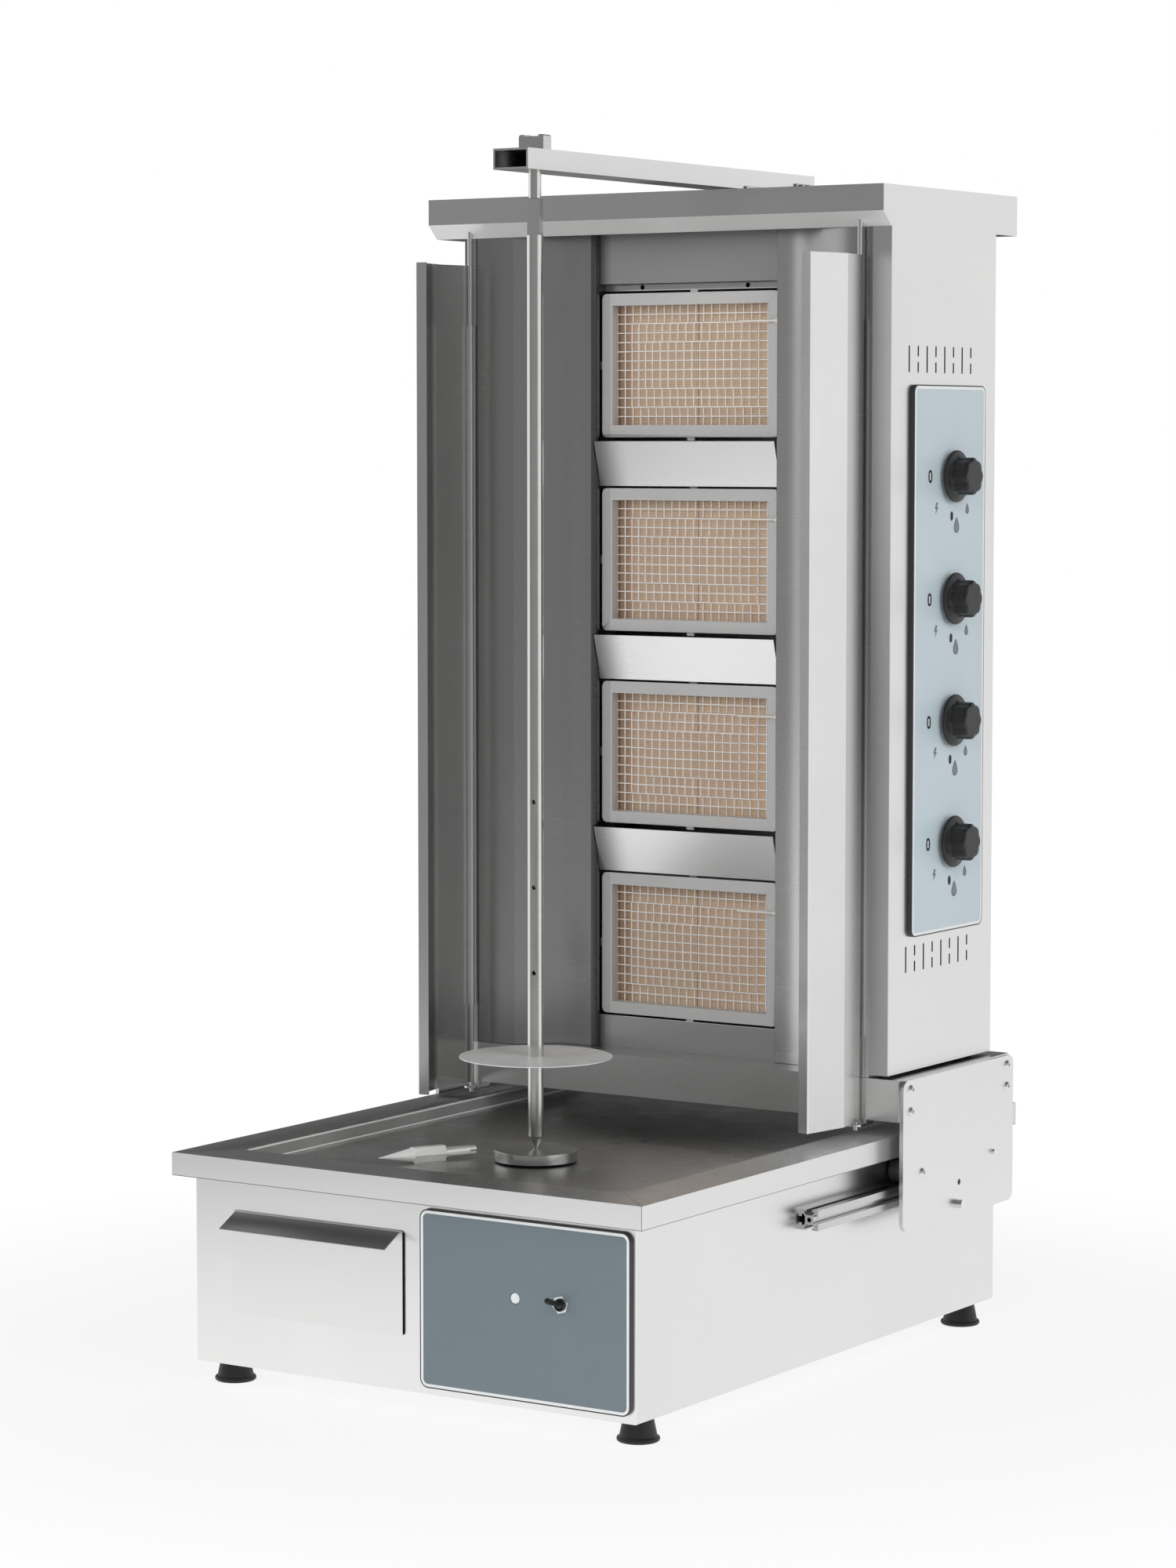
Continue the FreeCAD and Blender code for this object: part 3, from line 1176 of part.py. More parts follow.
def hood():
    """Hollow hood with a chamfer under its front face and a hole for each door pin."""
    half = HOOD_WIDTH / 2
    rise = HOOD_TOP - HOOD_FACE - HOOD_BOTTOM
    sheet = TOWER_SHEET
    shift = sheet * math.hypot(HOOD_CHAMFER_RUN, rise) / rise
    chamfer_share = (shift - sheet) * rise / HOOD_CHAMFER_RUN
    outline = [(HOOD_FRONT + HOOD_CHAMFER_RUN, HOOD_BOTTOM), (HOOD_FRONT, HOOD_BOTTOM + rise),
               (HOOD_FRONT, HOOD_TOP), (HOOD_REAR, HOOD_TOP), (HOOD_REAR, HOOD_BOTTOM)]
    hollow = [(HOOD_FRONT + HOOD_CHAMFER_RUN + shift, HOOD_BOTTOM),
              (HOOD_FRONT + sheet, HOOD_BOTTOM + rise + chamfer_share),
              (HOOD_FRONT + sheet, HOOD_TOP - sheet), (HOOD_REAR - sheet, HOOD_TOP - sheet),
              (HOOD_REAR - sheet, HOOD_BOTTOM)]
    outer = prism([Vector(-half, y, z) for y, z in outline], RIGHTWARD * HOOD_WIDTH)
    inner = prism([Vector(-half + sheet, y, z) for y, z in hollow], RIGHTWARD * (HOOD_WIDTH - 2 * sheet))
    shape = outer.cut(inner)
    for side in (-1, 1):
        foot_point = Vector(SPIT_X + side * HINGE_OFFSET, HINGE_Y, HOOD_BOTTOM)
        shape = shape.cut(rod(foot_point, foot_point + UP * HOOD_FACE / 2, DOOR_PIN_RADIUS + SHAFT_FIT))
    return shape


def reflector():
    """Left wing of the reflector, folded upright."""
    x = SPIT_X
    path = [(x - CORE_HALF_WIDTH, TOWER_FRONT + HOUSING_FLANGE), (x - CORE_HALF_WIDTH, TOWER_FRONT),
            (x - REFLECTOR_BEND, TOWER_FRONT), (x - REFLECTOR_WING, REFLECTOR_WING_Y),
            (x - REFLECTOR_FLAT, REFLECTOR_FLAT_Y), (x - REFLECTOR_INNER, REFLECTOR_FLAT_Y),
            (x - REFLECTOR_RETURN, REFLECTOR_RETURN_Y), (x - REFLECTOR_RETURN, REFLECTOR_BACK_Y)]
    return folded_upright(path, REFLECTOR_SHEET, CARRIAGE_TOP + REFLECTOR_LIFT, TOWER_TOP)


def reflectors():
    """Both wings; the right one has a hole for each igniter."""
    left = reflector()
    right = mirrored(left, SPIT_X)
    for top in BURNER_TOPS:
        start = SPIT_X + REFLECTOR_RETURN
        right = right.cut(rod_x(start, start + INSULATOR_LENGTH / 2, IGNITER_Y, top - IGNITER_DROP,
                                INSULATOR_RADIUS + SHAFT_FIT))
    return Part.makeCompound([left, right])


def knob_panel():
    """Control panel plate on the right side of the tower."""
    plate = rounded_box(HOUSING_RIGHT, PANEL_FACE_X, KNOB_PANEL_FRONT, KNOB_PANEL_REAR,
                        KNOB_PANEL_BOTTOM, KNOB_PANEL_TOP, KNOB_PANEL_CORNER, RIGHTWARD)
    for z in KNOB_HEIGHTS:
        plate = plate.cut(rod_x(HOUSING_RIGHT, PANEL_FACE_X, KNOB_Y, z, SPINDLE_RADIUS + SPINDLE_HOLE_GAP))
    return plate


# Burners

def burner_middle(top):
    """Height of the middle of the burner whose frame has this top."""
    return top - BURNER_HEIGHT / 2


def ring(half_width, half_height, wall, y0, y1, z):
    """Rectangular frame around the burner axis; the wall goes inward."""
    outer = centred_box(SPIT_X, half_width, y0, y1, z - half_height, z + half_height)
    inner_h = half_height - wall
    return outer.cut(centred_box(SPIT_X, half_width - wall, y0, y1, z - inner_h, z + inner_h))


def burner_frame(top):
    """Pressed frame of one burner: face, collar round the opening, side walls and spacer tabs."""
    z = burner_middle(top)
    half_w = BURNER_WIDTH / 2
    half_h = BURNER_HEIGHT / 2
    face_back = BURNER_FRONT + BURNER_SHEET
    face = rounded_box(SPIT_X - half_w, SPIT_X + half_w, BURNER_FRONT, face_back, z - half_h, z + half_h,
                       BURNER_CORNER, BACKWARD)
    open_w = OPENING_WIDTH / 2
    open_h = OPENING_HEIGHT / 2
    collar = ring(open_w + BURNER_SHEET, open_h + BURNER_SHEET, BURNER_SHEET, BURNER_FRONT, MESH_FACE, z)
    frame = face.fuse(collar)
    frame = frame.cut(centred_box(SPIT_X, open_w, BURNER_FRONT, MESH_FACE, z - open_h, z + open_h))
    wall_w = half_w - BURNER_WALL_INSET
    wall_h = half_h - BURNER_WALL_INSET
    frame = frame.fuse(ring(wall_w, wall_h, BURNER_SHEET, BURNER_FRONT + BURNER_SHEET / 2,
                            face_back + BURNER_WALL_DEPTH, z))
    tab_back = face_back + TAB_SHEET
    half_tab = TAB_WIDTH / 2
    strip_face = BURNER_FRONT + STRIP_SET_BACK
    near = wall_h - BURNER_SHEET / 2
    far = half_h + min(TAB_HEIGHT, BURNER_GAP + REFLECTOR_SHEET)
    frame = frame.fuse(centred_box(SPIT_X, half_tab, strip_face - TAB_SHEET, strip_face, z + near, z + far))
    frame = frame.fuse(centred_box(SPIT_X, half_tab, tab_back, tab_back + TAB_SHEET, z - far, z - near))
    inner = wall_w - BURNER_SHEET / 2
    side_tabs = centred_box(SPIT_X, REFLECTOR_RETURN, face_back, tab_back, z - half_tab, z + half_tab)
    side_tabs = side_tabs.cut(centred_box(SPIT_X, inner, face_back, tab_back, z - half_tab, z + half_tab))
    return frame.fuse(side_tabs)


def burner_frames():
    """All burner frames."""
    return Part.makeCompound([burner_frame(top) for top in BURNER_TOPS])


def mesh_plate(cells, hole_cells, face, z):
    """Perforated plate: a grid of cells, less the block of cells in its middle."""
    half_w = cells[0] * MESH_PITCH / 2
    half_h = cells[1] * MESH_PITCH / 2
    skip_w = hole_cells[0] * MESH_PITCH / 2
    skip_h = hole_cells[1] * MESH_PITCH / 2
    side = MESH_PITCH - MESH_WIRE
    wires = [rectangle(half_w, half_h, 0, 0, face, z)]
    if skip_w:
        wires.append(rectangle(skip_w, skip_h, 0, 0, face, z))
    for column in range(cells[0]):
        for row in range(cells[1]):
            x = (column - (cells[0] - 1) / 2) * MESH_PITCH
            height = (row - (cells[1] - 1) / 2) * MESH_PITCH
            if abs(x) < skip_w and abs(height) < skip_h:
                continue
            wires.append(rectangle(side / 2, side / 2, x, height, face, z))
    return Part.makeFace(wires, "Part::FaceMakerBullseye").extrude(BACKWARD * MESH_SHEET)


def rectangle(half_w, half_h, x, height, face, z):
    """Closed rectangle on the plane of the mesh face."""
    centre = Vector(SPIT_X + x, face, z + height)
    signs = [(-1, -1), (1, -1), (1, 1), (-1, 1), (-1, -1)]
    return Part.makePolygon([centre + Vector(a * half_w, 0, b * half_h) for a, b in signs])


def burner_mesh(z):
    """Pressed mesh of one burner: three levels joined by upright walls."""
    pieces = []
    for level, cells in enumerate(MESH_CELLS):
        face = MESH_FACE - level * MESH_STEP
        last = level == len(MESH_CELLS) - 1
        pieces.append(mesh_plate(cells, (0, 0) if last else MESH_CELLS[level + 1], face, z))
        if level:
            half_w = cells[0] * MESH_PITCH / 2
            half_h = cells[1] * MESH_PITCH / 2
            back = face + MESH_SHEET
            pieces.append(ring(half_w, half_h, MESH_WIRE / 2, back, back + MESH_STEP, z))
    mesh = pieces[0]
    for piece in pieces[1:]:
        mesh = mesh.fuse(piece)
    return mesh


def burner_meshes():
    """All burner meshes."""
    first = burner_mesh(burner_middle(BURNER_TOPS[0]))
    meshes = []
    for row in range(BURNER_COUNT):
        copy = first.copy()
        copy.translate(UP * (-BURNER_PITCH * row))
        meshes.append(copy)
    return Part.makeCompound(meshes)


def burner_tiles():
    """Two ceramic tiles side by side in each burner."""
    half_w = PLENUM_WIDTH / 2 - PLENUM_SHEET
    half_h = PLENUM_HEIGHT / 2 - PLENUM_SHEET
    tiles = []
    for top in BURNER_TOPS:
        z = burner_middle(top)
        for x0, x1 in ((-half_w, -TILE_GAP / 2), (TILE_GAP / 2, half_w)):
            tiles.append(box(SPIT_X + x0, SPIT_X + x1, TILE_FACE, TILE_FACE + TILE_DEPTH,
                             z - half_h, z + half_h))
    return Part.makeCompound(tiles)


def burner_body(top):
    """Gas box of one burner with the mixing tube across its back."""
    z = burner_middle(top)
    half_w = PLENUM_WIDTH / 2
    half_h = PLENUM_HEIGHT / 2
    sheet = PLENUM_SHEET
    front = MESH_FACE + MESH_SHEET
    shell = box(SPIT_X - half_w, SPIT_X + half_w, front, PLENUM_BACK, z - half_h, z + half_h)
    start = Vector(SPIT_X + VENTURI_LEFT, KNOB_Y, z)
    end = Vector(SPIT_X + VENTURI_RIGHT, KNOB_Y, z)
    shell = shell.fuse(rod(start, end, VENTURI_RADIUS))
    shell = shell.cut(box(SPIT_X - half_w + sheet, SPIT_X + half_w - sheet, front, PLENUM_BACK - sheet,
                          z - half_h + sheet, z + half_h - sheet))
    return shell.cut(rod(start + RIGHTWARD * sheet, end, VENTURI_RADIUS - sheet))


def burner_bodies():
    """All gas boxes."""
    return Part.makeCompound([burner_body(top) for top in BURNER_TOPS])


def burner_igniters():
    """Spark electrode and its insulator at the upper right of each burner."""
    pieces = []
    for top in BURNER_TOPS:
        z = top - IGNITER_DROP
        joint = Vector(SPIT_X + REFLECTOR_RETURN - INSULATOR_RADIUS, IGNITER_Y, z)
        pieces.append(rod(Vector(SPIT_X + IGNITER_REACH, IGNITER_Y, z), joint, IGNITER_RADIUS))
        pieces.append(rod(joint, joint + RIGHTWARD * INSULATOR_LENGTH, INSULATOR_RADIUS))
    return Part.makeCompound(pieces)


def deflectors():
    """Sheets above, between and below the burners, fitted between the reflector returns."""
    left = SPIT_X - REFLECTOR_RETURN
    right = SPIT_X + REFLECTOR_RETURN
    back = BURNER_FRONT
    top_path = [(back, TOWER_TOP), (back, TOP_PANEL_BOTTOM), (back + STRIP_SET_BACK, TOP_PANEL_BOTTOM),
                (back + STRIP_SET_BACK, STRIP_BOTTOM)]
    top_sheet = folded_across(top_path, REFLECTOR_SHEET, left, right)
    for side in (-1, 1):
        hole = Vector(SPIT_X + side * STRIP_HOLE_OFFSET, back + STRIP_SET_BACK, STRIP_HOLE_Z)
        top_sheet = top_sheet.cut(rod(hole, hole + BACKWARD * REFLECTOR_SHEET, STRIP_HOLE_RADIUS))
    pieces = [top_sheet]
    for top in BURNER_TOPS[1:]:
        upper = top + BURNER_PITCH - BURNER_HEIGHT - DEFLECTOR_DROP
        path = [(DEFLECTOR_FRONT, upper), (back, top + BURNER_GAP)]
        pieces.append(folded_across(path, REFLECTOR_SHEET, left, right))
    bottom = BURNER_TOPS[-1] - BURNER_HEIGHT - BURNER_GAP
    pieces.append(box(left, right, back, back + REFLECTOR_SHEET, CARRIAGE_TOP, bottom))
    return Part.makeCompound(pieces)


# Gas train

def gas_manifold():
    """Supply pipe with its inlet spigot at the rear, a branch to each valve and a pipe to each burner."""
    low = Vector(MANIFOLD_X, MANIFOLD_Y, MANIFOLD_BOTTOM)
    supply = rod(low, Vector(MANIFOLD_X, MANIFOLD_Y, MANIFOLD_TOP), MANIFOLD_RADIUS)
    supply = supply.fuse(Part.makeSphere(MANIFOLD_RADIUS, low))
    inlet_end = Vector(MANIFOLD_X, INLET_REAR, MANIFOLD_BOTTOM)
    collar = Vector(MANIFOLD_X, TOWER_REAR, MANIFOLD_BOTTOM)
    supply = supply.fuse(rod(low, inlet_end, MANIFOLD_RADIUS))
    supply = supply.fuse(hexagon_bar(collar, BACKWARD * INLET_COLLAR, INLET_COLLAR_ACROSS_FLATS))
    supply = supply.fuse(rod(collar + BACKWARD * (INLET_COLLAR + INLET_RELIEF), inlet_end, INLET_RADIUS))
    valve_back = KNOB_Y + VALVE_SIDE / 2
    pieces = []
    for knob_z, top in zip(KNOB_HEIGHTS, BURNER_TOPS):
        branch = Vector(MANIFOLD_X, valve_back, knob_z)
        supply = supply.fuse(rod(branch, Vector(MANIFOLD_X, MANIFOLD_Y, knob_z), BRANCH_RADIUS))
        z = burner_middle(top)
        nozzle = SPIT_X + VENTURI_RIGHT
        route = [Vector(VALVE_LEFT, KNOB_Y, knob_z), Vector(PIPE_COLUMN_X, KNOB_Y, knob_z),
                 Vector(PIPE_COLUMN_X, KNOB_Y, z), Vector(nozzle, KNOB_Y, z)]
        pieces.append(bent_tube(route, PIPE_RADIUS, PIPE_BEND))
    return Part.makeCompound([supply] + pieces)


def gas_valves():
    """Four gas cocks, each held at the housing wall by its neck."""
    valves = []
    half = VALVE_SIDE / 2
    wall = HOUSING_RIGHT - TOWER_SHEET
    for z in KNOB_HEIGHTS:
        valve = box(VALVE_LEFT, VALVE_RIGHT, KNOB_Y - half, KNOB_Y + half, z - half, z + half)
        valve = valve.fuse(rod_x(VALVE_RIGHT, wall, KNOB_Y, z, VALVE_NECK_RADIUS))
        deep = wall - SPINDLE_IN_VALVE - SLIDE_GAP
        valves.append(valve.cut(rod_x(deep, wall, KNOB_Y, z, SPINDLE_RADIUS + SHAFT_FIT)))
    return Part.makeCompound(valves)


def gas_spindle(z):
    """Valve spindle that the knob sits on."""
    start = HOUSING_RIGHT - TOWER_SHEET - SPINDLE_IN_VALVE
    end = PANEL_FACE_X + KNOB_STAND_OFF + SPINDLE_IN_KNOB
    return rod_x(start, end, KNOB_Y, z, SPINDLE_RADIUS)


def gas_knob(z):
    """Fluted knob with a wide skirt, bored for the spindle."""
    back = PANEL_FACE_X + KNOB_STAND_OFF
    front = back + KNOB_LENGTH
    seat = Vector(back, KNOB_Y, z)
    skirt = Part.makeCone(KNOB_SKIRT_RADIUS, KNOB_SKIRT_RADIUS - KNOB_EDGE, KNOB_SKIRT, seat, RIGHTWARD)
    grip = rod_x(back, front, KNOB_Y, z, KNOB_GRIP_RADIUS)
    face_edges = [edge for edge in grip.Edges if abs(edge.CenterOfMass.x - front) < 1e-6]
    grip = grip.makeFillet(KNOB_EDGE, face_edges)
    reach = KNOB_GRIP_RADIUS + KNOB_FLUTE_RADIUS - KNOB_FLUTE_DEPTH
    for index in range(KNOB_FLUTES):
        angle = math.radians((index + 0.5) * 360 / KNOB_FLUTES)
        centre = Vector(back + KNOB_SKIRT, KNOB_Y + reach * math.cos(angle), z + reach * math.sin(angle))
        grip = grip.cut(rod(centre, centre + RIGHTWARD * KNOB_LENGTH, KNOB_FLUTE_RADIUS))
    depth = SPINDLE_IN_KNOB + KNOB_PUSH + SLIDE_GAP
    bore = rod_x(back, back + depth, KNOB_Y, z, SPINDLE_RADIUS + SHAFT_FIT)
    return skirt.fuse(grip).cut(bore)


# Doors

def door(side):
    """Wing door: a panel folded twice, rolled round its hinge line, with a pin at each end."""
    hinge = (HINGE_OFFSET, HINGE_Y)
    corner = DOOR_CORNER
    fold = DOOR_FOLD
    inward = (fold[1] - corner[1], corner[0] - fold[0])
    size = math.hypot(*inward)
    flange = (corner[0] - inward[0] / size * DOOR_FLANGE, corner[1] - inward[1] / size * DOOR_FLANGE)
    roll = DOOR_PIN_RADIUS + DOOR_SHEET
    away = (fold[0] - hinge[0], fold[1] - hinge[1])
    reach = math.hypot(*away)
    lean = math.atan2(away[1], away[0]) + math.acos(roll / reach)
    tangent = (hinge[0] + roll * math.cos(lean), hinge[1] + roll * math.sin(lean))
    path = [tangent, fold, corner, flange]
    sheet = folded_upright(path, -DOOR_SHEET, DOOR_BOTTOM, DOOR_TOP)
    knuckle_bottom = DOOR_BOTTOM + KNUCKLE_BOTTOM_CUT
    knuckle_top = DOOR_TOP - KNUCKLE_TOP_CUT
    sheet = sheet.fuse(rod_z(*hinge, knuckle_bottom, knuckle_top, roll))
    sheet = sheet.cut(rod_z(*hinge, DOOR_BOTTOM, DOOR_TOP, DOOR_PIN_RADIUS))
    upper_pin = rod_z(*hinge, knuckle_top - DOOR_PIN_IN_KNUCKLE, DOOR_PIN_TOP, DOOR_PIN_RADIUS)
    lower_pin = rod_z(*hinge, DOOR_PIN_BOTTOM, knuckle_bottom + DOOR_PIN_IN_KNUCKLE, DOOR_PIN_RADIUS)
    whole = Part.makeCompound([sheet, upper_pin, lower_pin])
    whole.translate(RIGHTWARD * SPIT_X)
    if side < 0:
        whole = mirrored(whole, SPIT_X)
    return whole


def all_parts():
    """Every sub-part by its node name."""
    parts = {
        "cabinet_shell": cabinet_shell(),
        "cabinet_back": cabinet_back(),
        "power_gland": power_gland(),
        "table_top": table_top(),
        "feet": feet(),
        "slide_rails": slide_rails(),
        "drawer_runners": drawer_runners(),
        "front_panel": front_panel(),
        "pilot_lamp": pilot_lamp(),
        "switch_body": switch_body(),
        "gearmotor": gearmotor(),
        "spindle_bearing": spindle_bearing(),
        "base_screws": base_screws(),
        "switch_lever": switch_lever(),
        "drawer_tray": drawer_tray(),
        "drawer_front": drawer_front(),
        "drive_shaft": drive_shaft(),
        "drive_puck": drive_puck(),
        "spit_tip": spit_tip(),
        "spit_tube": spit_tube(),
        "spit_disc": spit_disc(),
        "spit_socket": spit_socket(),
        "arm_tube": arm_tube(),
        "top_pin": top_pin(),
        "top_pin_grip": top_pin_grip(),
        "arm_guides": arm_guides(),
        "spare_tip": spare_tip(),
        "carriage_frame": carriage_frame(),
        "carriage_plates": carriage_plates(),
        "tower_screws": tower_screws(),
        "tower_side": tower_side(),
        "control_housing": control_housing(),
        "tower_back": tower_back(),
        "hood": hood(),
        "reflectors": reflectors(),
        "knob_panel": knob_panel(),
        "burner_frames": burner_frames(),
        "burner_meshes": burner_meshes(),
        "burner_tiles": burner_tiles(),
        "burner_bodies": burner_bodies(),
        "burner_igniters": burner_igniters(),
        "deflectors": deflectors(),
        "gas_manifold": gas_manifold(),
        "gas_valves": gas_valves(),
        "door_left": door(-1),
        "door_right": door(1),
    }
    for number, z in enumerate(KNOB_HEIGHTS, start=1):
        parts["gas_spindle_%d" % number] = gas_spindle(z)
        parts["gas_knob_%d" % number] = gas_knob(z)
    for side, side_name in ((-1, "left"), (1, "right")):
        for place_name, place in zip(("front", "rear", "lower"), roller_places()):
            parts["roller_%s_%s" % (side_name, place_name)] = roller(side, *place)
    return parts


def centred(parts):
    """The sub-parts moved so that the origin is on the floor under the middle of their common box."""
    whole = FreeCAD.BoundBox()
    for shape in parts.values():
        whole.add(shape.optimalBoundingBox(False, False))
    shift = Vector(-whole.Center.x, -whole.Center.y, -whole.ZMin)
    print("overall", round(whole.XLength, 2), round(whole.YLength, 2), round(whole.ZLength, 2))
    print("moved by", round(shift.x, 4), round(shift.y, 4), round(shift.z, 4))
    for shape in parts.values():
        shape.translate(shift)
    return parts


def main():
    """Write one STEP file per sub-part."""
    os.makedirs("parts", exist_ok=True)
    for name, shape in centred(all_parts()).items():
        if not shape.isValid():
            print("not valid:", name)
        shape.exportStep("parts/%s.step" % name)
        print(name, len(shape.Solids), "solids", round(shape.Volume / 1000, 1), "cm3")


main()
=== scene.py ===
"""Looks of a gas doner kebab grill, laid out as a Blender add-on.

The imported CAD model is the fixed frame. Most pieces are shown as merged
copies of their CAD nodes with broken edges. The burner wires, the gas knobs
and the dial signs are surfaces worked out on numpy grids.
Lengths are metres in the frame of the CAD model: X right, Y away, Z up.
"""
import json
import math

import bmesh
import bpy
import numpy as np
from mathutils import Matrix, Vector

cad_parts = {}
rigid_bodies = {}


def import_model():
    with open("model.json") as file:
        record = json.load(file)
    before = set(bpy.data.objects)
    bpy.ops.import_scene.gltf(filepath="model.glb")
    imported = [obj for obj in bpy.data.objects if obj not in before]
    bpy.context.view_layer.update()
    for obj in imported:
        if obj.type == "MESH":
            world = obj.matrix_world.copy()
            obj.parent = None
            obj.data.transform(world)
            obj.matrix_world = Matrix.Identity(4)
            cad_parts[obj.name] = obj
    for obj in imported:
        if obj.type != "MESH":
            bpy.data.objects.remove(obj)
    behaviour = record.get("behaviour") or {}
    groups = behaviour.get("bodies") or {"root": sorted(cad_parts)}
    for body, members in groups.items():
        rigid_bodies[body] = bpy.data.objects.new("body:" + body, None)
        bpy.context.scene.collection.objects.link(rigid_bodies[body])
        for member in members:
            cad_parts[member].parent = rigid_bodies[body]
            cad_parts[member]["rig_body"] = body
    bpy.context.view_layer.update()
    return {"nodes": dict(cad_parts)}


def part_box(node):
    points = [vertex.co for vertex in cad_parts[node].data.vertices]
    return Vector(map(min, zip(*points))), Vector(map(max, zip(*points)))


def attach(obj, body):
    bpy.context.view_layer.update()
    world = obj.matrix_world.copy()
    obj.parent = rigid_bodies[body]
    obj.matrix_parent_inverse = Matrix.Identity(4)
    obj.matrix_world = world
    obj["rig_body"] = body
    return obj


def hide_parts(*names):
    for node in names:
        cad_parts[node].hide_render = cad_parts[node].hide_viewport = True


bl_info = {
    "name": "Doner grill looks",
    "version": (1, 0, 0),
    "blender": (4, 5, 0),
    "location": "View3D > Sidebar > Grill",
    "description": "Builds the finishes and fine pieces of a gas doner kebab grill",
    "category": "Object",
}

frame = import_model()
MM = 0.001
FULL_TURN = 2 * math.pi

# The studio's brightness at the left, and its changes from start to end degrees counterclockwise from +X
STUDIO_LEFT = 1.0
FLAG_EDGES = ((-148, -142, -0.73), (-98, -90, 0.03), (-20, -10, 0.65), (84, 97, -0.80), (150, 156, 0.85))
# The studio's brightness overhead, and the share of a direction's rise over which it goes there
OVERHEAD = 0.09
OVERHEAD_EDGE = (0.4, 0.7)

# Name, place, width and power of each lamp, and the point that all of them face
LAMPS = (("key", (3.4, -1.2, 2.6), 2.4, 48.0), ("front", (1.4, -4.0, 1.5), 2.4, 60.0),
         ("fill", (-2.2, -3.4, 2.2), 2.4, 42.0), ("back", (-1.2, 3.4, 2.8), 2.2, 22.0))
LAMP_AIM = (0.0, 0.0, 0.6)

# The photograph's camera: place, degrees from straight down, degrees counterclockwise from +Y, millimetres
CAMERA_PLACE = (2.298325, -3.5552966, 0.9155)
CAMERA_TILT = 85.4
CAMERA_TURN = 33.23
SENSOR_HEIGHT = 36.0
FOCAL_LENGTH = 97.707

# Half the floor's width, its glow under the grill, and the distances over which it turns white, to the
# camera, and darkens to the studio's level, in reflections
FLOOR_REACH = 12.0
NEAR_GLOW = 0.84
WHITE_REACH = (0.5, 1.2)
DIM_REACH = (1.4, 1.9)

# Near-black of painted shade, the colour that overlay paints by default
PAINTED_SHADE_BLACK = (0.01, 0.01, 0.01)


# Shader maths

class Value:
    """A number that changes from place to place. Sums and products of it add Math nodes."""

    def __init__(self, nodes, socket):
        self.nodes = nodes
        self.socket = socket

    def __add__(self, other):
        return self.nodes.math("ADD", self, other)

    __radd__ = __add__

    def __sub__(self, other):
        return self.nodes.math("SUBTRACT", self, other)

    def __rsub__(self, other):
        return self.nodes.math("SUBTRACT", other, self)

    def __mul__(self, other):
        return self.nodes.math("MULTIPLY", self, other)

    __rmul__ = __mul__

    def __abs__(self):
        return self.nodes.math("ABSOLUTE", self)

    def __lt__(self, other):
        return self.nodes.math("LESS_THAN", self, other)

    def __gt__(self, other):
        return self.nodes.math("GREATER_THAN", self, other)

    def __mod__(self, other):
        return self.nodes.math("FLOORED_MODULO", self, other)

    def larger(self, other):
        """The larger of the two."""
        return self.nodes.math("MAXIMUM", self, other)

    def smaller(self, other):
        """The smaller of the two."""
        return self.nodes.math("MINIMUM", self, other)

    def root(self):
        """Square root."""
        return self.nodes.math("SQRT", self)

    def clamped(self):
        """Cut off below 0 and above 1."""
        return self.larger(0.0).smaller(1.0)


class Nodes:
    """The nodes of one tree, made and fed by short calls."""

    def __init__(self, tree):
        self.tree = tree

    def node(self, kind, settings=None, sockets=None):
        """A node of this kind, with its settings made first and then its sockets' values or links."""
        made = self.tree.nodes.new(kind)
        for key, value in (settings or {}).items():
            setattr(made, key, value)
        for key, value in (sockets or {}).items():
            self.feed(made.inputs[key], value)
        return made

    def feed(self, socket, value):
        """Links or sets one socket."""
        if isinstance(value, Value):
            value = value.socket
        if isinstance(value, bpy.types.NodeSocket):
            self.tree.links.new(value, socket)
        else:
            socket.default_value = value

    def math(self, operation, first, second=0.0):
        """One Math node."""
        made = self.node("ShaderNodeMath", {"operation": operation}, {0: first, 1: second})
        return Value(self, made.outputs[0])

    def axes(self, vector):
        """The three coordinates of a vector."""
        parts = self.node("ShaderNodeSeparateXYZ", sockets={"Vector": vector})
        return [Value(self, parts.outputs[axis]) for axis in "XYZ"]

    def step(self, value, start, end):
        """Smooth step from 0 at start to 1 at end."""
        made = self.node("ShaderNodeMapRange", {"interpolation_type": "SMOOTHSTEP"},
                         {"Value": value, "From Min": start, "From Max": end})
        return Value(self, made.outputs["Result"])

    def seen(self, *rays):
        """1 where the ray is one of these kinds, else 0."""
        path = self.node("ShaderNodeLightPath")
        found = Value(self, path.outputs["Is %s Ray" % rays[0]])
        for kind in rays[1:]:
            found = found.larger(Value(self, path.outputs["Is %s Ray" % kind]))
        return found

    def studio(self, x, y, z):
        """Brightness of the studio in a direction: it steps at each flag's edge and dims overhead."""
        azimuth = self.math("ARCTAN2", y, x)
        level = STUDIO_LEFT
        for start, end, change in FLAG_EDGES:
            level = change * self.step(azimuth, math.radians(start), math.radians(end)) + level
        overhead = self.step(z, *OVERHEAD_EDGE)
        return level + overhead * (OVERHEAD - level)


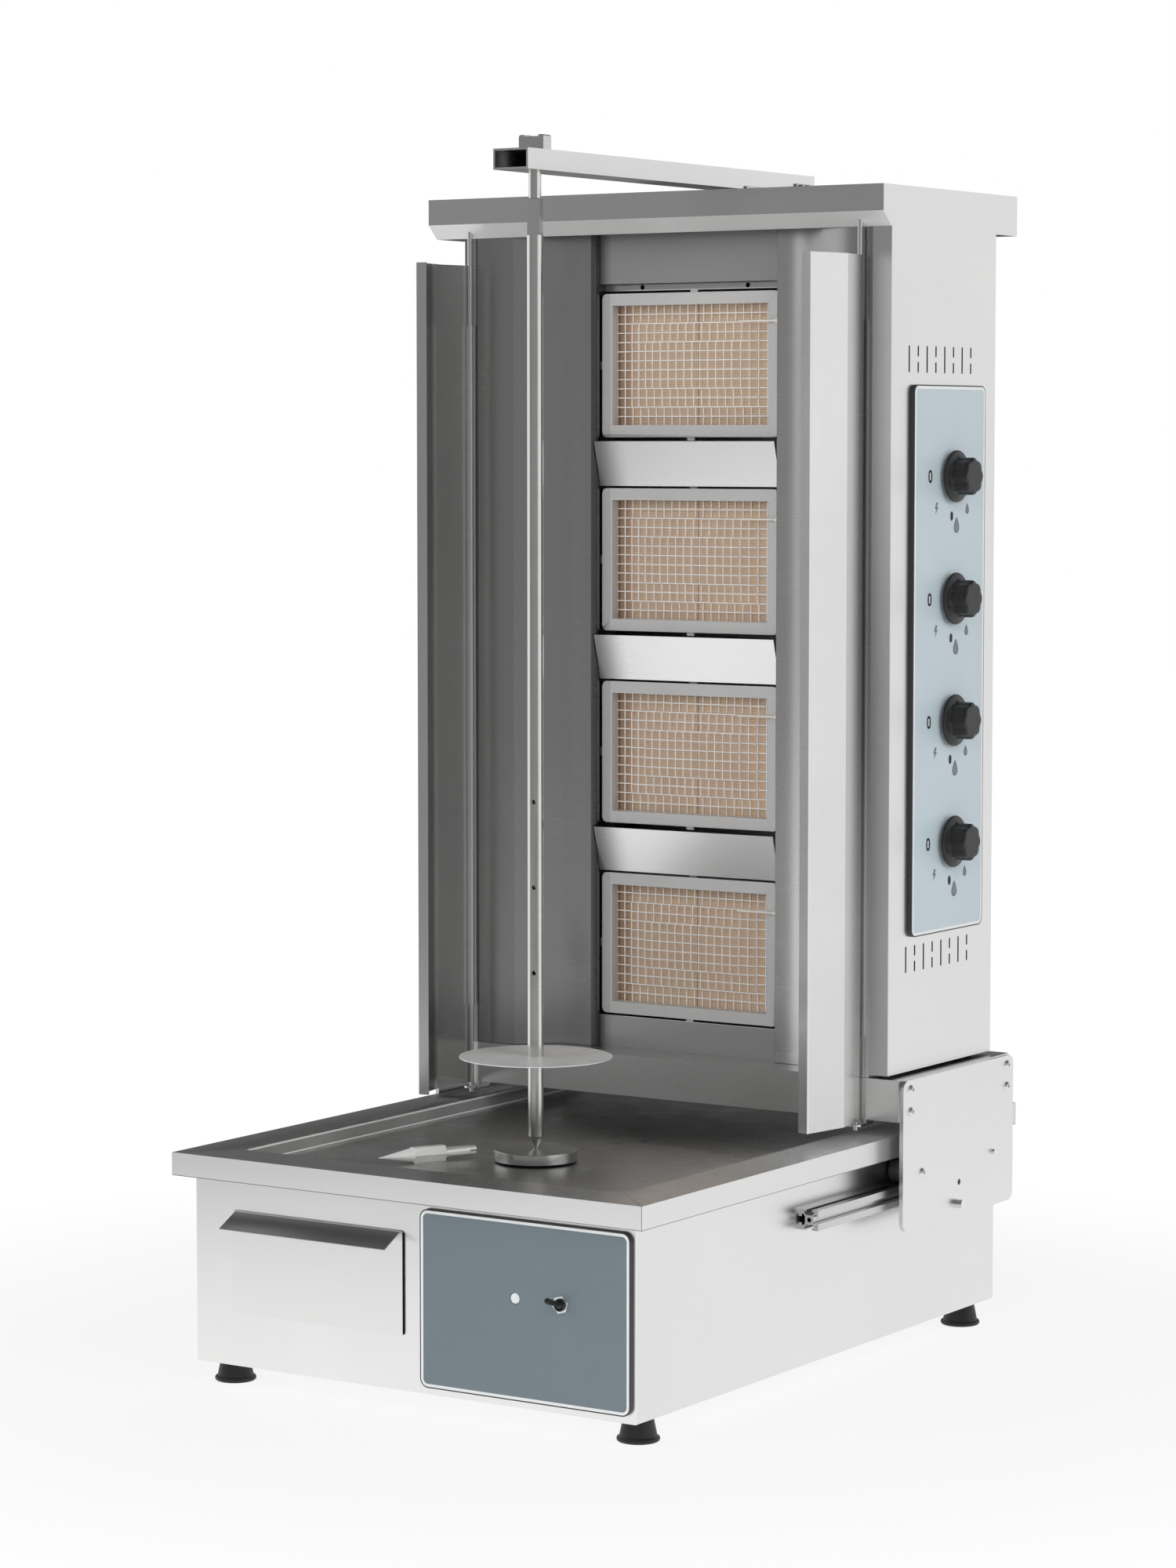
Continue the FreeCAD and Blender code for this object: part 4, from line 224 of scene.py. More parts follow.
class Finish(Nodes):
    """One material: a Principled shader and the nodes that feed it."""

    def __init__(self, name, **constants):
        self.material = bpy.data.materials.new(name)
        self.material.use_nodes = True
        super().__init__(self.material.node_tree)
        self.shader = self.tree.nodes["Principled BSDF"]
        for socket, value in constants.items():
            self.shader.inputs[socket.replace("_", " ")].default_value = value
        self.place = self.node("ShaderNodeTexCoord").outputs["Object"]
        self.x, self.y, self.z = self.axes(self.place)
        self.tone = None

    def noise(self, scale, stretch=(1, 1, 1), detail=2.0):
        """Noise of about 0 to 1, with scale in lumps per metre, squeezed along each axis by stretch."""
        spread = self.node("ShaderNodeMapping", {"vector_type": "POINT"},
                           {"Vector": self.place, "Scale": stretch})
        made = self.node("ShaderNodeTexNoise", sockets={
            "Vector": spread.outputs["Vector"], "Scale": scale, "Detail": detail})
        return Value(self, made.outputs["Fac"])

    def blend(self, share, low, high):
        """Colour that goes from low to high with share."""
        made = self.node("ShaderNodeMix", {"data_type": "RGBA"}, {0: share})
        for place, colour in ((6, low), (7, high)):
            if not isinstance(colour, bpy.types.NodeSocket):
                colour = (*colour, 1.0)
            self.feed(made.inputs[place], colour)
        return made.outputs[2]

    def colour(self, value):
        """Feeds the base colour."""
        self.tone = value
        self.feed(self.shader.inputs["Base Color"], value)

    def overlay(self, share, colour=PAINTED_SHADE_BLACK):
        """Puts another colour over the base colour, as far as share; by default the near-black of painted
        shade.
        """
        self.colour(self.blend(share, self.tone, colour))

    def round_spot(self, x, z, radius):
        """1 within this distance of a line along Y, else 0."""
        across = self.x - x
        upright = self.z - z
        return (across * across + upright * upright).root() < radius

    def uneven(self, middle, *changes):
        """A number that strays from its middle value with each noise, as far as that noise's share."""
        for share, noise in changes:
            middle = middle + share * (noise - 0.5)
        return middle

    def roughness(self, middle, *changes):
        """Feeds the roughness, which may be uneven."""
        self.feed(self.shader.inputs["Roughness"], self.uneven(middle, *changes))

    def metal(self, value):
        """Feeds how far the finish is bare metal."""
        self.feed(self.shader.inputs["Metallic"], value)

    def bump(self, height, depth):
        """Feeds the normal from a height, whose full step is depth metres."""
        made = self.node("ShaderNodeBump", sockets={"Height": height, "Distance": depth, "Strength": 1.0})
        self.feed(self.shader.inputs["Normal"], made.outputs["Normal"])


def shade(colour, factor):
    """The colour made lighter or darker."""
    return tuple(min(1.0, part * factor) for part in colour)


# Finishes

# How brushed steel's streaks are drawn out: along every level direction, X or Y
GRAIN = {"level": (0.015, 0.015, 1), "x": (0.015, 1, 1), "y": (1, 0.015, 1)}
STREAKS_PER_METRE = 1300.0
CLOUDS_PER_METRE = 6.0
WAVES_PER_METRE = 3.5
# How far the streaks change the colour, and their height in millimetres
STREAK_SPREAD = 0.025
STREAK_HEIGHT = 0.0015


def brushed(name, colour, grain="level", roughness=0.3, cloud=0.05, warp=0.0, metallic=1.0):
    """Brushed stainless: fine streaks along the grain, slow clouds of handling as strong as cloud,
    and waves in the sheet that are up to warp millimetres high."""
    finish = Finish(name, Metallic=metallic)
    streak = finish.noise(STREAKS_PER_METRE, GRAIN[grain])
    patch = finish.noise(CLOUDS_PER_METRE, detail=5.0)
    spread = cloud + STREAK_SPREAD
    tone = finish.uneven(0.5, (cloud / spread, patch), (STREAK_SPREAD / spread, streak)).clamped()
    finish.colour(finish.blend(tone, shade(colour, 1 - spread), shade(colour, 1 + spread)))
    finish.roughness(roughness, (0.06, streak), (0.1, patch))
    wave = finish.noise(WAVES_PER_METRE, detail=1.0)
    finish.bump(STREAK_HEIGHT * streak + warp * wave, MM)
    return finish


def turned(name, colour, roughness=0.22, metallic=1.0):
    """Turned steel: fine rings round an upright axis."""
    finish = Finish(name, Metallic=metallic)
    ring = finish.noise(700.0, (0.05, 0.05, 1))
    patch = finish.noise(30.0, detail=3.0)
    tone = (ring * 0.4 + patch * 0.6).clamped()
    finish.colour(finish.blend(tone, shade(colour, 0.88), shade(colour, 1.08)))
    finish.roughness(roughness, (0.12, ring), (0.1, patch))
    finish.bump(ring, 0.006 * MM)
    return finish


def mottled(name, colour, warm, roughness=0.38, metallic=1.0):
    """Steel clouded by heat and cleaning, with warm stains."""
    finish = Finish(name, Metallic=metallic)
    cloud = finish.noise(14.0, detail=6.0)
    stain = finish.noise(38.0, detail=5.0)
    scratch = finish.noise(420.0, (1, 0.05, 1))
    base = finish.blend((cloud * 1.6 - 0.3).clamped(), shade(colour, 0.72), shade(colour, 1.25))
    finish.colour(finish.blend((stain * 1.8 - 0.65).clamped(), base, warm))
    finish.roughness(roughness, (0.22, stain), (0.1, scratch))
    finish.bump(scratch * 0.5 + stain * 0.5, 0.05 * MM)
    return finish


def moulded(name, colour, roughness=0.5, grain=0.04):
    """Moulded plastic or paint: an even colour with a fine pebbled skin."""
    finish = Finish(name, Specular_IOR_Level=0.45)
    pebble = finish.noise(1600.0, detail=1.0)
    patch = finish.noise(25.0, detail=3.0)
    finish.colour(finish.blend(patch, shade(colour, 0.88), shade(colour, 1.12)))
    finish.roughness(roughness, (0.1, patch))
    finish.bump(pebble, grain * MM)
    return finish


# The tile's flame holes, and the edge of its browner band, from its left edge
HOLE_PITCH = 2.6 * MM
HOLE_RADIUS = 0.72 * MM
HOLE_DEPTH = 0.3 * MM
BAND_EDGE = (24 * MM, 8 * MM)


def fired_clay(name, colour, band, left):
    """Burner tile: rows of fine flame holes, painted darker as the shade inside them, with a browner band
    along the left edge.
    """
    finish = Finish(name, Roughness=0.85)
    across = (finish.x % HOLE_PITCH) - HOLE_PITCH / 2
    upright = (finish.z % HOLE_PITCH) - HOLE_PITCH / 2
    hole = (across * across + upright * upright).root() < HOLE_RADIUS
    patch = finish.noise(18.0, detail=4.0)
    edge = finish.step(finish.x, left + BAND_EDGE[0], left + BAND_EDGE[1])
    body = finish.blend(patch, shade(colour, 0.92), shade(colour, 1.08))
    body = finish.blend(edge * 0.7, body, band)
    finish.colour(finish.blend(hole * 0.35, body, shade(band, 0.6)))
    finish.bump(1.0 - hole, HOLE_DEPTH)
    return finish


# The printed line's distance from the plate's edge, and its width
LINE_MARGIN = 1.3 * MM
LINE_WIDTH = 2.7 * MM


def printed_plate(name, colour, line, edge, axis, low, high, corner):
    """Painted plate with a printed line near its rounded edge, dark outside the line, and painted light that
    makes its field lighter towards the bottom. The distance from the edge is that of a rectangle with
    rounded corners."""
    finish = Finish(name, Specular_IOR_Level=0.5, Coat_Weight=0.15, Coat_Roughness=0.2)
    along = finish.x if axis == "x" else finish.y
    half = [(b - a) / 2 for a, b in zip(low, high)]
    centre = [(b + a) / 2 for a, b in zip(low, high)]
    across = abs(along - centre[0]) - (half[0] - corner)
    upright = abs(finish.z - centre[1]) - (half[1] - corner)
    over_across = across.larger(0.0)
    over_upright = upright.larger(0.0)
    outside = (over_across * over_across + over_upright * over_upright).root()
    inside = across.larger(upright).smaller(0.0)
    distance = outside + inside - corner
    patch = finish.noise(9.0, detail=3.0)
    # Painted light: the field is painted lighter towards the bottom and darker towards the top
    painted_light_fall = ((finish.z - low[1]) * (1 / (high[1] - low[1]))).clamped()
    field = finish.blend((0.5 * patch + 0.5 * painted_light_fall).clamped(), shade(colour, 1.06), shade(colour, 0.93))
    with_line = finish.blend(distance > -LINE_MARGIN - LINE_WIDTH, field, line)
    finish.colour(finish.blend(distance > -LINE_MARGIN, with_line, edge))
    finish.roughness(0.42, (0.08, patch))
    finish.bump(finish.noise(1400.0, detail=1.0), 0.015 * MM)
    return finish


RIM_WIDTH = 50 * MM
PAN_DEPTH = 14.5 * MM
FLOOR_MARGIN = 2.5 * MM
SEAM_HALF = 0.35 * MM
SEAM_COLOUR = (0.02, 0.02, 0.02)
SKIN = 1.0 * MM
LOWER_EDGE = 0.7 * MM
# Tones of the table's sides, their front painted lighter as painted light, their lower edge painted dark as
# painted shade, the pan's walls as a painted reflection and the bends' painted highlights
SIDE_TONES = ((0.70, 0.70, 0.695), (0.80, 0.80, 0.795))
PAINTED_FRONT_LIGHT = (0.92, 0.92, 0.915)
PAINTED_EDGE_SHADE = (0.3, 0.3, 0.3)
PAINTED_WALL_TONES = ((0.22, 0.22, 0.218), (0.46, 0.46, 0.455))
BEND_HIGHLIGHT_TONE = (0.86, 0.86, 0.855)
# How far the painted highlight lines along the bends reach: across the rim's inner edge, down from the rim,
# and up from the pan
BEND_ACROSS = (-1.1 * MM, 2.5 * MM)
BEND_BELOW_RIM = (0.3 * MM, 2.2 * MM)
BEND_ABOVE_PAN = (0.5 * MM, 2.1 * MM)
# Where the rim is painted lighter to the right, more so towards the back, as a painted reflection, and made
# less metallic there: in X and then in Y
PAINTED_LIGHT_FROM_X = 0.05
PAINTED_LIGHT_OVER_Y = (-0.2, 0.05)


def side_tone(finish, cloud, streak, low):
    """Colour of the table's sides: brushed, with the front painted lighter as painted light and painted
    shade along the lower edge.
    """
    tone = finish.blend((streak * 0.5 + cloud * 0.5).clamped(), *SIDE_TONES)
    tone = finish.blend(finish.y < low.y + SKIN, tone, PAINTED_FRONT_LIGHT)
    return finish.blend(finish.z < low.z + LOWER_EDGE, tone, PAINTED_EDGE_SHADE)


def pan_tone(finish, cloud, stain, colour, warm):
    """Colour of the pan's floor: clouded, with warm stains."""
    tone = finish.blend((cloud * 1.7 - 0.35).clamped(), shade(colour, 0.7), shade(colour, 1.25))
    return finish.blend((stain * 1.8 - 0.6).clamped(), tone, warm)


def pan_walls(inward, below):
    """1 on the pan's walls, and 1 on the bends at their top and foot, where highlight lines are painted."""
    near_wall = (inward > RIM_WIDTH + BEND_ACROSS[0]) * (inward < RIM_WIDTH + BEND_ACROSS[1])
    wall = near_wall * (below > BEND_BELOW_RIM[0])
    foot_bend = (below < PAN_DEPTH - BEND_ABOVE_PAN[0]) * (below > PAN_DEPTH - BEND_ABOVE_PAN[1])
    return wall, wall * (below < BEND_BELOW_RIM[1]).larger(foot_bend)


def seamed_table(name, colour, warm, low, high):
    """Table sheet: brushed rim with mitred corner seams, mottled pan floor, painted highlight lines along
    the bends, painted reflections on the rim's right part and the pan's walls, and sides with a lighter
    painted front and a painted shade line below.
    """
    finish = Finish(name, Metallic=1.0)
    cloud = finish.noise(9.0, detail=6.0)
    stain = finish.noise(30.0, detail=5.0)
    streak = finish.noise(900.0, GRAIN["x"])
    inward_x = (high.x - low.x) / 2 - abs(finish.x - (high.x + low.x) / 2)
    inward_y = (high.y - low.y) / 2 - abs(finish.y - (high.y + low.y) / 2)
    inward = inward_x.smaller(inward_y)
    below = high.z - finish.z
    skirt = inward < SKIN
    pan = inward > RIM_WIDTH - SKIN / 2
    seam = (abs(inward_x - inward_y) < SEAM_HALF) * (1.0 - pan)
    floor = pan * (below > PAN_DEPTH - FLOOR_MARGIN)
    wall, bend_highlight = pan_walls(inward, below)
    # Painted reflection: the rim's right part is painted lighter and made less metallic
    right = finish.step(finish.x, PAINTED_LIGHT_FROM_X, high.x) * (0.3 + 0.6 * finish.step(finish.y, *PAINTED_LIGHT_OVER_Y))
    finish.colour(finish.blend((streak * 0.4 + cloud * 0.6).clamped(), colour, shade(colour, 1.3)))
    finish.overlay(floor, pan_tone(finish, cloud, stain, colour, warm))
    finish.overlay(right, shade(colour, 1.9))
    finish.overlay(skirt, side_tone(finish, cloud, streak, low))
    # Painted reflection: the pan's walls are painted in matt greys and made less metallic and rougher
    finish.overlay(wall, finish.blend(cloud, *PAINTED_WALL_TONES))
    finish.overlay(bend_highlight, BEND_HIGHLIGHT_TONE)
    finish.overlay(seam, SEAM_COLOUR)
    finish.metal(1.0 - (0.9 * bend_highlight).larger(0.45 * right).larger(0.75 * wall))
    spread = (0.2 * (stain - 0.5) + 0.12 * (streak - 0.5)) * (1.0 - 0.9 * skirt)
    finish.roughness(0.30 + spread + 0.25 * wall)
    finish.bump((0.2 * stain + 0.03 * streak) * (1.0 - skirt) - seam, 0.08 * MM)
    return finish


def lamp_lens(name, low, high):
    """Pale lens whose lower left edge lies in the shade of its rim: the dark crescent is what is left
    of the lens outside a slightly smaller disc that is moved up and to the right."""
    finish = Finish(name, Roughness=0.15, Specular_IOR_Level=0.45)
    radius = (high.x - low.x) / 2
    shift = 0.12 * radius
    lit = finish.round_spot((low.x + high.x) / 2 + shift, (low.z + high.z) / 2 + shift, 0.9 * radius)
    finish.colour(finish.blend(lit, (0.05, 0.06, 0.06), (0.86, 0.88, 0.87)))
    return finish


# Meshes

# Points closer than this are one point: of a worked-out surface, and of a CAD node
SURFACE_MERGE = 1e-7
CAD_MERGE = 2e-6


def surface(name, points, quads, smooth=True):
    """Mesh of points and four-sided faces, with its doubled points merged and its faces turned outwards."""
    mesh = bpy.data.meshes.new(name)
    mesh.vertices.add(len(points))
    mesh.vertices.foreach_set("co", np.asarray(points, np.float32).ravel())
    mesh.loops.add(quads.size)
    mesh.loops.foreach_set("vertex_index", np.asarray(quads, np.int32).ravel())
    mesh.polygons.add(len(quads))
    mesh.polygons.foreach_set("loop_start", np.arange(0, quads.size, 4, dtype=np.int32))
    mesh.update(calc_edges=True)
    shell = bmesh.new()
    shell.from_mesh(mesh)
    bmesh.ops.remove_doubles(shell, verts=shell.verts, dist=SURFACE_MERGE)
    bmesh.ops.recalc_face_normals(shell, faces=shell.faces)
    shell.to_mesh(mesh)
    shell.free()
    mesh.polygons.foreach_set("use_smooth", np.full(len(mesh.polygons), smooth))
    return mesh


def grid_quads(rows, columns, wrap_rows=False, wrap_columns=False):
    """Point numbers of the faces of a grid of points, closed on itself where asked."""
    numbers = np.arange(rows * columns).reshape(rows, columns)
    if wrap_rows:
        numbers = np.vstack([numbers, numbers[:1]])
    if wrap_columns:
        numbers = np.hstack([numbers, numbers[:, :1]])
    faces = [numbers[:-1, :-1], numbers[1:, :-1], numbers[1:, 1:], numbers[:-1, 1:]]
    return np.stack(faces, axis=-1).reshape(-1, 4)


def joined(parts):
    """One set of points and faces from several (points, quads) pairs."""
    points = []
    quads = []
    count = 0
    for part_points, part_quads in parts:
        points.append(part_points)
        quads.append(part_quads + count)
        count += len(part_points)
    return np.vstack(points), np.vstack(quads)


def tube_grid(paths, radius, sides):
    """Round wires along a (wires, stations, 3) array: each station's ring is
    centre + radius * (cos a * side + sin a * over), where side is square to the wire and to Y."""
    wires, stations = paths.shape[:2]
    along = np.gradient(paths, axis=1)
    along /= np.linalg.norm(along, axis=2, keepdims=True)
    side = np.cross(along, np.array([0.0, 1.0, 0.0]))
    side /= np.linalg.norm(side, axis=2, keepdims=True)
    over = np.cross(along, side)
    angle = np.arange(sides) * FULL_TURN / sides
    ring = np.cos(angle)[:, None] * side[:, :, None, :] + np.sin(angle)[:, None] * over[:, :, None, :]
    points = (paths[:, :, None, :] + radius * ring).reshape(-1, 3)
    one = grid_quads(stations, sides, wrap_columns=True)
    step = stations * sides
    quads = (one[None] + step * np.arange(wires)[:, None, None]).reshape(-1, 4)
    return points, quads


def piece(name, mesh, body, finish, replaces=()):
    """Puts a finished mesh on a CAD body, with its finish and the nodes it stands for."""
    made = bpy.data.objects.new(name, mesh)
    bpy.context.scene.collection.objects.link(made)
    mesh.materials.clear()
    mesh.materials.append(finish.material)
    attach(made, body)
    if replaces:
        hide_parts(*replaces)
    return made


# Bends: their least length, and how far inside the outline they lie
FOLD_LENGTH = 150 * MM
FOLD_INSET = 40 * MM
FOLD_SEGMENTS = 4
# Degrees from which an edge is sharp, and below which two faces are one flat face
SHARP_ANGLE = 32
FLAT_ANGLE = 0.4


def broken_edges(node, finish, radius=0.5, segments=2, fold_radius=None):
    """Merged copy of a CAD node whose sharp edges are rounded, by a radius in millimetres. It stands
    for the node. Long sharp edges well inside the outline are bends, and take the fold radius."""
    source = frame["nodes"][node]
    shell = bmesh.new()
    shell.from_mesh(source.data)
    bmesh.ops.remove_doubles(shell, verts=shell.verts, dist=CAD_MERGE)
    bmesh.ops.dissolve_limit(shell, angle_limit=math.radians(FLAT_ANGLE), verts=shell.verts,
                             edges=shell.edges)
    mesh = bpy.data.meshes.new(node + "_shape")
    shell.to_mesh(mesh)
    shell.free()
    mesh.polygons.foreach_set("use_smooth", np.ones(len(mesh.polygons), bool))
    mesh.set_sharp_from_angle(angle=math.radians(SHARP_ANGLE))
    made = piece(node + "_finished", mesh, source["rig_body"], finish, (node,))
    widest = fold_radius or radius
    weights = np.array([edge.use_edge_sharp for edge in mesh.edges], np.float32) * radius / widest
    if fold_radius:
        weights[folds(node, mesh) & (weights > 0)] = 1.0
    mesh.attributes.new("bevel_weight_edge", "FLOAT", "EDGE").data.foreach_set("value", weights)
    bevel = made.modifiers.new("broken_edge", "BEVEL")
    bevel.width = widest * MM
    bevel.segments = FOLD_SEGMENTS if fold_radius else segments
    bevel.limit_method = "WEIGHT"
    bevel.harden_normals = True
    return made


def folds(node, mesh):
    """True for each edge that is long and lies well inside the node's outline from above."""
    low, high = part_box(node)
    points = np.empty(len(mesh.vertices) * 3)
    mesh.vertices.foreach_get("co", points)
    ends = np.empty(len(mesh.edges) * 2, int)
    mesh.edges.foreach_get("vertices", ends)
    ends = points.reshape(-1, 3)[ends.reshape(-1, 2)]
    level = ends[..., :2]
    inside = (level > np.array(low)[:2] + FOLD_INSET) & (level < np.array(high)[:2] - FOLD_INSET)
    return inside.all(axis=(1, 2)) & (np.linalg.norm(ends[:, 1] - ends[:, 0], axis=1) > FOLD_LENGTH)


# Sizes and colours a user would change

class GrillSizes(bpy.types.PropertyGroup):
    """Sizes of the fine pieces."""

    wire_radius: bpy.props.FloatProperty(
        name="Wire radius", description="Radius of the burner mesh wires", default=0.72 * MM,
        unit="LENGTH")
    wire_pitch: bpy.props.FloatProperty(
        name="Wire pitch", description="Distance between burner mesh wires", default=9.5 * MM,
        unit="LENGTH")
    wire_layer: bpy.props.FloatProperty(
        name="Wire layer", description="How far each layer of wires lies off the middle",
        default=0.55 * MM, unit="LENGTH")
    knob_flute: bpy.props.FloatProperty(
        name="Knob flute depth", description="Depth of the finger flutes", default=1.9 * MM,
        unit="LENGTH")
    sheet_edge: bpy.props.FloatProperty(
        name="Sheet edge", description="Rounding of sheet edges", default=0.5 * MM, unit="LENGTH")


class GrillColours(bpy.types.PropertyGroup):
    """Colours of the finishes."""

    stainless: bpy.props.FloatVectorProperty(
        name="Stainless", description="Outer sheets", subtype="COLOR", default=(0.76, 0.76, 0.755))
    reflector: bpy.props.FloatVectorProperty(
        name="Reflector", description="Sheets round the burners", subtype="COLOR",
        default=(0.68, 0.68, 0.675))
    table: bpy.props.FloatVectorProperty(
        name="Table", description="Table top and pan", subtype="COLOR", default=(0.60, 0.595, 0.59))
    front_panel: bpy.props.FloatVectorProperty(
        name="Front panel", description="Panel with the switch", subtype="COLOR",
        default=(0.165, 0.213, 0.238))
    side_panel: bpy.props.FloatVectorProperty(
        name="Side panel", description="Panel with the gas knobs", subtype="COLOR",
        default=(0.56, 0.66, 0.71))
    tile: bpy.props.FloatVectorProperty(
        name="Tile", description="Ceramic burner tiles", subtype="COLOR", default=(0.69, 0.52, 0.38))
    black: bpy.props.FloatVectorProperty(
        name="Black plastic", description="Knobs and feet", subtype="COLOR",
        default=(0.012, 0.012, 0.012))


def sizes():
    """The scene's sizes."""
    return bpy.context.scene.grill_sizes


def colours():
    """The scene's colours, as plain tuples."""
    group = bpy.context.scene.grill_colours
    return {name: tuple(getattr(group, name)) for name in GrillColours.__annotations__}


class GrillOperator(bpy.types.Operator):
    """Base of the grill's operators."""

    bl_options = {"REGISTER", "UNDO"}

    def execute(self, context):
        """Builds the pieces and reports success."""
        self.build()
        return {"FINISHED"}


class GRILL_OT_stage(GrillOperator):
    """Floor, lights, world and camera"""

    bl_idname = "grill.stage"
    bl_label = "Stage"

    def build(self):
        """A pale floor, a studio world and soft lamps round the grill."""
        corners = FLOOR_REACH * np.array([[-1, -1, 0], [1, -1, 0], [1, 1, 0], [-1, 1, 0]])
        floor_mesh = surface("floor", corners, np.array([[0, 1, 2, 3]]), False)
        floor = bpy.data.objects.new("floor", floor_mesh)
        bpy.context.scene.collection.objects.link(floor)
        floor_mesh.materials.append(self.pale_floor().material)
        self.studio_world()
        for lamp in LAMPS:
            self.lamp(*lamp)
        self.camera()
        bpy.context.scene.view_settings.view_transform = "Standard"

    def pale_floor(self):
        """Matt floor that glows white away from the grill, so that only its shadow shows."""
        finish = Finish("pale_floor", Roughness=0.9, Specular_IOR_Level=0.1, Emission_Strength=1.0)
        reach = (finish.x * finish.x + finish.y * finish.y).root()
        share = (NEAR_GLOW + (1.0 - NEAR_GLOW) * finish.step(reach, *WHITE_REACH)) * finish.seen("Camera")
        share = share.larger(finish.seen("Glossy", "Transmission"))
        far = finish.step(reach, *DIM_REACH) * finish.seen("Glossy")
        glow = 1.0 - far * (1.0 - finish.studio(finish.x, finish.y, finish.z))
        finish.colour(finish.blend(share, (0.95, 0.95, 0.95), (0.0, 0.0, 0.0)))
        finish.feed(finish.shader.inputs["Emission Color"],
                    finish.blend(share * glow, (0.0, 0.0, 0.0), (1.0, 1.0, 1.0)))
        return finish

    def studio_world(self):
        """White to the camera. Every other ray sees soft boxes and dark flags by its direction."""
        world = bpy.data.worlds.new("studio")
        bpy.context.scene.world = world
        world.use_nodes = True
        nodes = Nodes(world.node_tree)
        direction = nodes.node("ShaderNodeTexCoord").outputs["Generated"]
        level = nodes.studio(*nodes.axes(direction)).larger(nodes.seen("Camera", "Transmission"))
        back = world.node_tree.nodes["Background"]
        back.inputs["Color"].default_value = (1.0, 1.0, 1.0, 1.0)
        nodes.feed(back.inputs["Strength"], level)

    def lamp(self, name, place, size, power):
        """A square soft lamp that faces the grill."""
        data = bpy.data.lights.new(name, "AREA")
        data.size = size
        data.energy = power
        lamp = bpy.data.objects.new(name, data)
        bpy.context.scene.collection.objects.link(lamp)
        lamp.location = place
        lamp.visible_glossy = False
        aim = Vector(LAMP_AIM) - lamp.location
        lamp.rotation_euler = aim.to_track_quat("-Z", "Y").to_euler()

    def camera(self):
        """Camera at the photograph's place."""
        data = bpy.data.cameras.new("camera")
        data.sensor_fit = "VERTICAL"
        data.sensor_height = SENSOR_HEIGHT
        data.lens = FOCAL_LENGTH
        camera = bpy.data.objects.new("camera", data)
        bpy.context.scene.collection.objects.link(camera)
        camera.location = CAMERA_PLACE
        camera.rotation_euler = (math.radians(CAMERA_TILT), 0.0, math.radians(CAMERA_TURN))
        bpy.context.scene.camera = camera


class GRILL_OT_base_sheets(GrillOperator):
    """Cabinet, drawer, table top and carriage sheets"""

    bl_idname = "grill.base_sheets"
    bl_label = "Base sheets"

    # The drawer's lip, painted darker as painted shade, and the painted shadow line at its right edge
    LIP_DEPTH = 24.5 * MM
    LIP_SHADE = 0.45
    SHADOW_LINE = 0.9 * MM
    # The right end of the carriage tray's front, painted darker as painted shade
    TRAY_FRONT = 88.5 * MM
    TRAY_END = 40 * MM
    TRAY_SHADE = 0.8
    # Radius of the table's bends, in millimetres
    TABLE_FOLD = 2.0
    WARM_STEEL = (0.55, 0.535, 0.52)

    def build(self):
        """Broken-edge copies in brushed steel, with painted shade on the drawer's lip and right edge and on
        the front of the tray's right end, and with the fronts of the cabinet and drawer painted lighter as
        painted light."""
        edge = sizes().sheet_edge / MM
        tone = colours()
        bright = brushed("stainless_sheet", tone["stainless"])
        for node in ("cabinet_back", "carriage_plates"):
            broken_edges(node, bright, edge)
        shell = brushed("cabinet_sheet", tone["stainless"])
        # Painted light: the cabinet's front is painted lighter than its sides
        front = shell.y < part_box("cabinet_shell")[0].y + SKIN
        shell.overlay(front, shade(tone["stainless"], 1.17))
        broken_edges("cabinet_shell", shell, edge)
        # Painted light and shade: the drawer's face is painted lighter, with a painted shadow line at its
        # right edge and painted shade on its lip
        face = brushed("drawer_sheet", shade(tone["stainless"], 1.15))
        low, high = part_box("drawer_front")
        face.overlay(face.x > high.x - self.SHADOW_LINE)
        face.overlay(self.LIP_SHADE * (face.y < low.y + self.LIP_DEPTH))
        broken_edges("drawer_front", face, edge)
        dull = brushed("inner_sheet", shade(tone["stainless"], 0.85), roughness=0.4)
        for node in ("drawer_tray", "drawer_runners"):
            broken_edges(node, dull, edge * 0.6)
        carriage = brushed("carriage_sheet", tone["stainless"])
        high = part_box("carriage_frame")[1]
        shaded_tray_end = (carriage.x > high.x - self.TRAY_END) * (abs(carriage.y - self.TRAY_FRONT) < SKIN)
        carriage.overlay(self.TRAY_SHADE * shaded_tray_end, shade(tone["stainless"], 0.25))
        broken_edges("carriage_frame", carriage, edge)
        table = seamed_table("table_sheet", tone["table"], self.WARM_STEEL, *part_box("table_top"))
        broken_edges("table_top", table, edge, fold_radius=self.TABLE_FOLD)


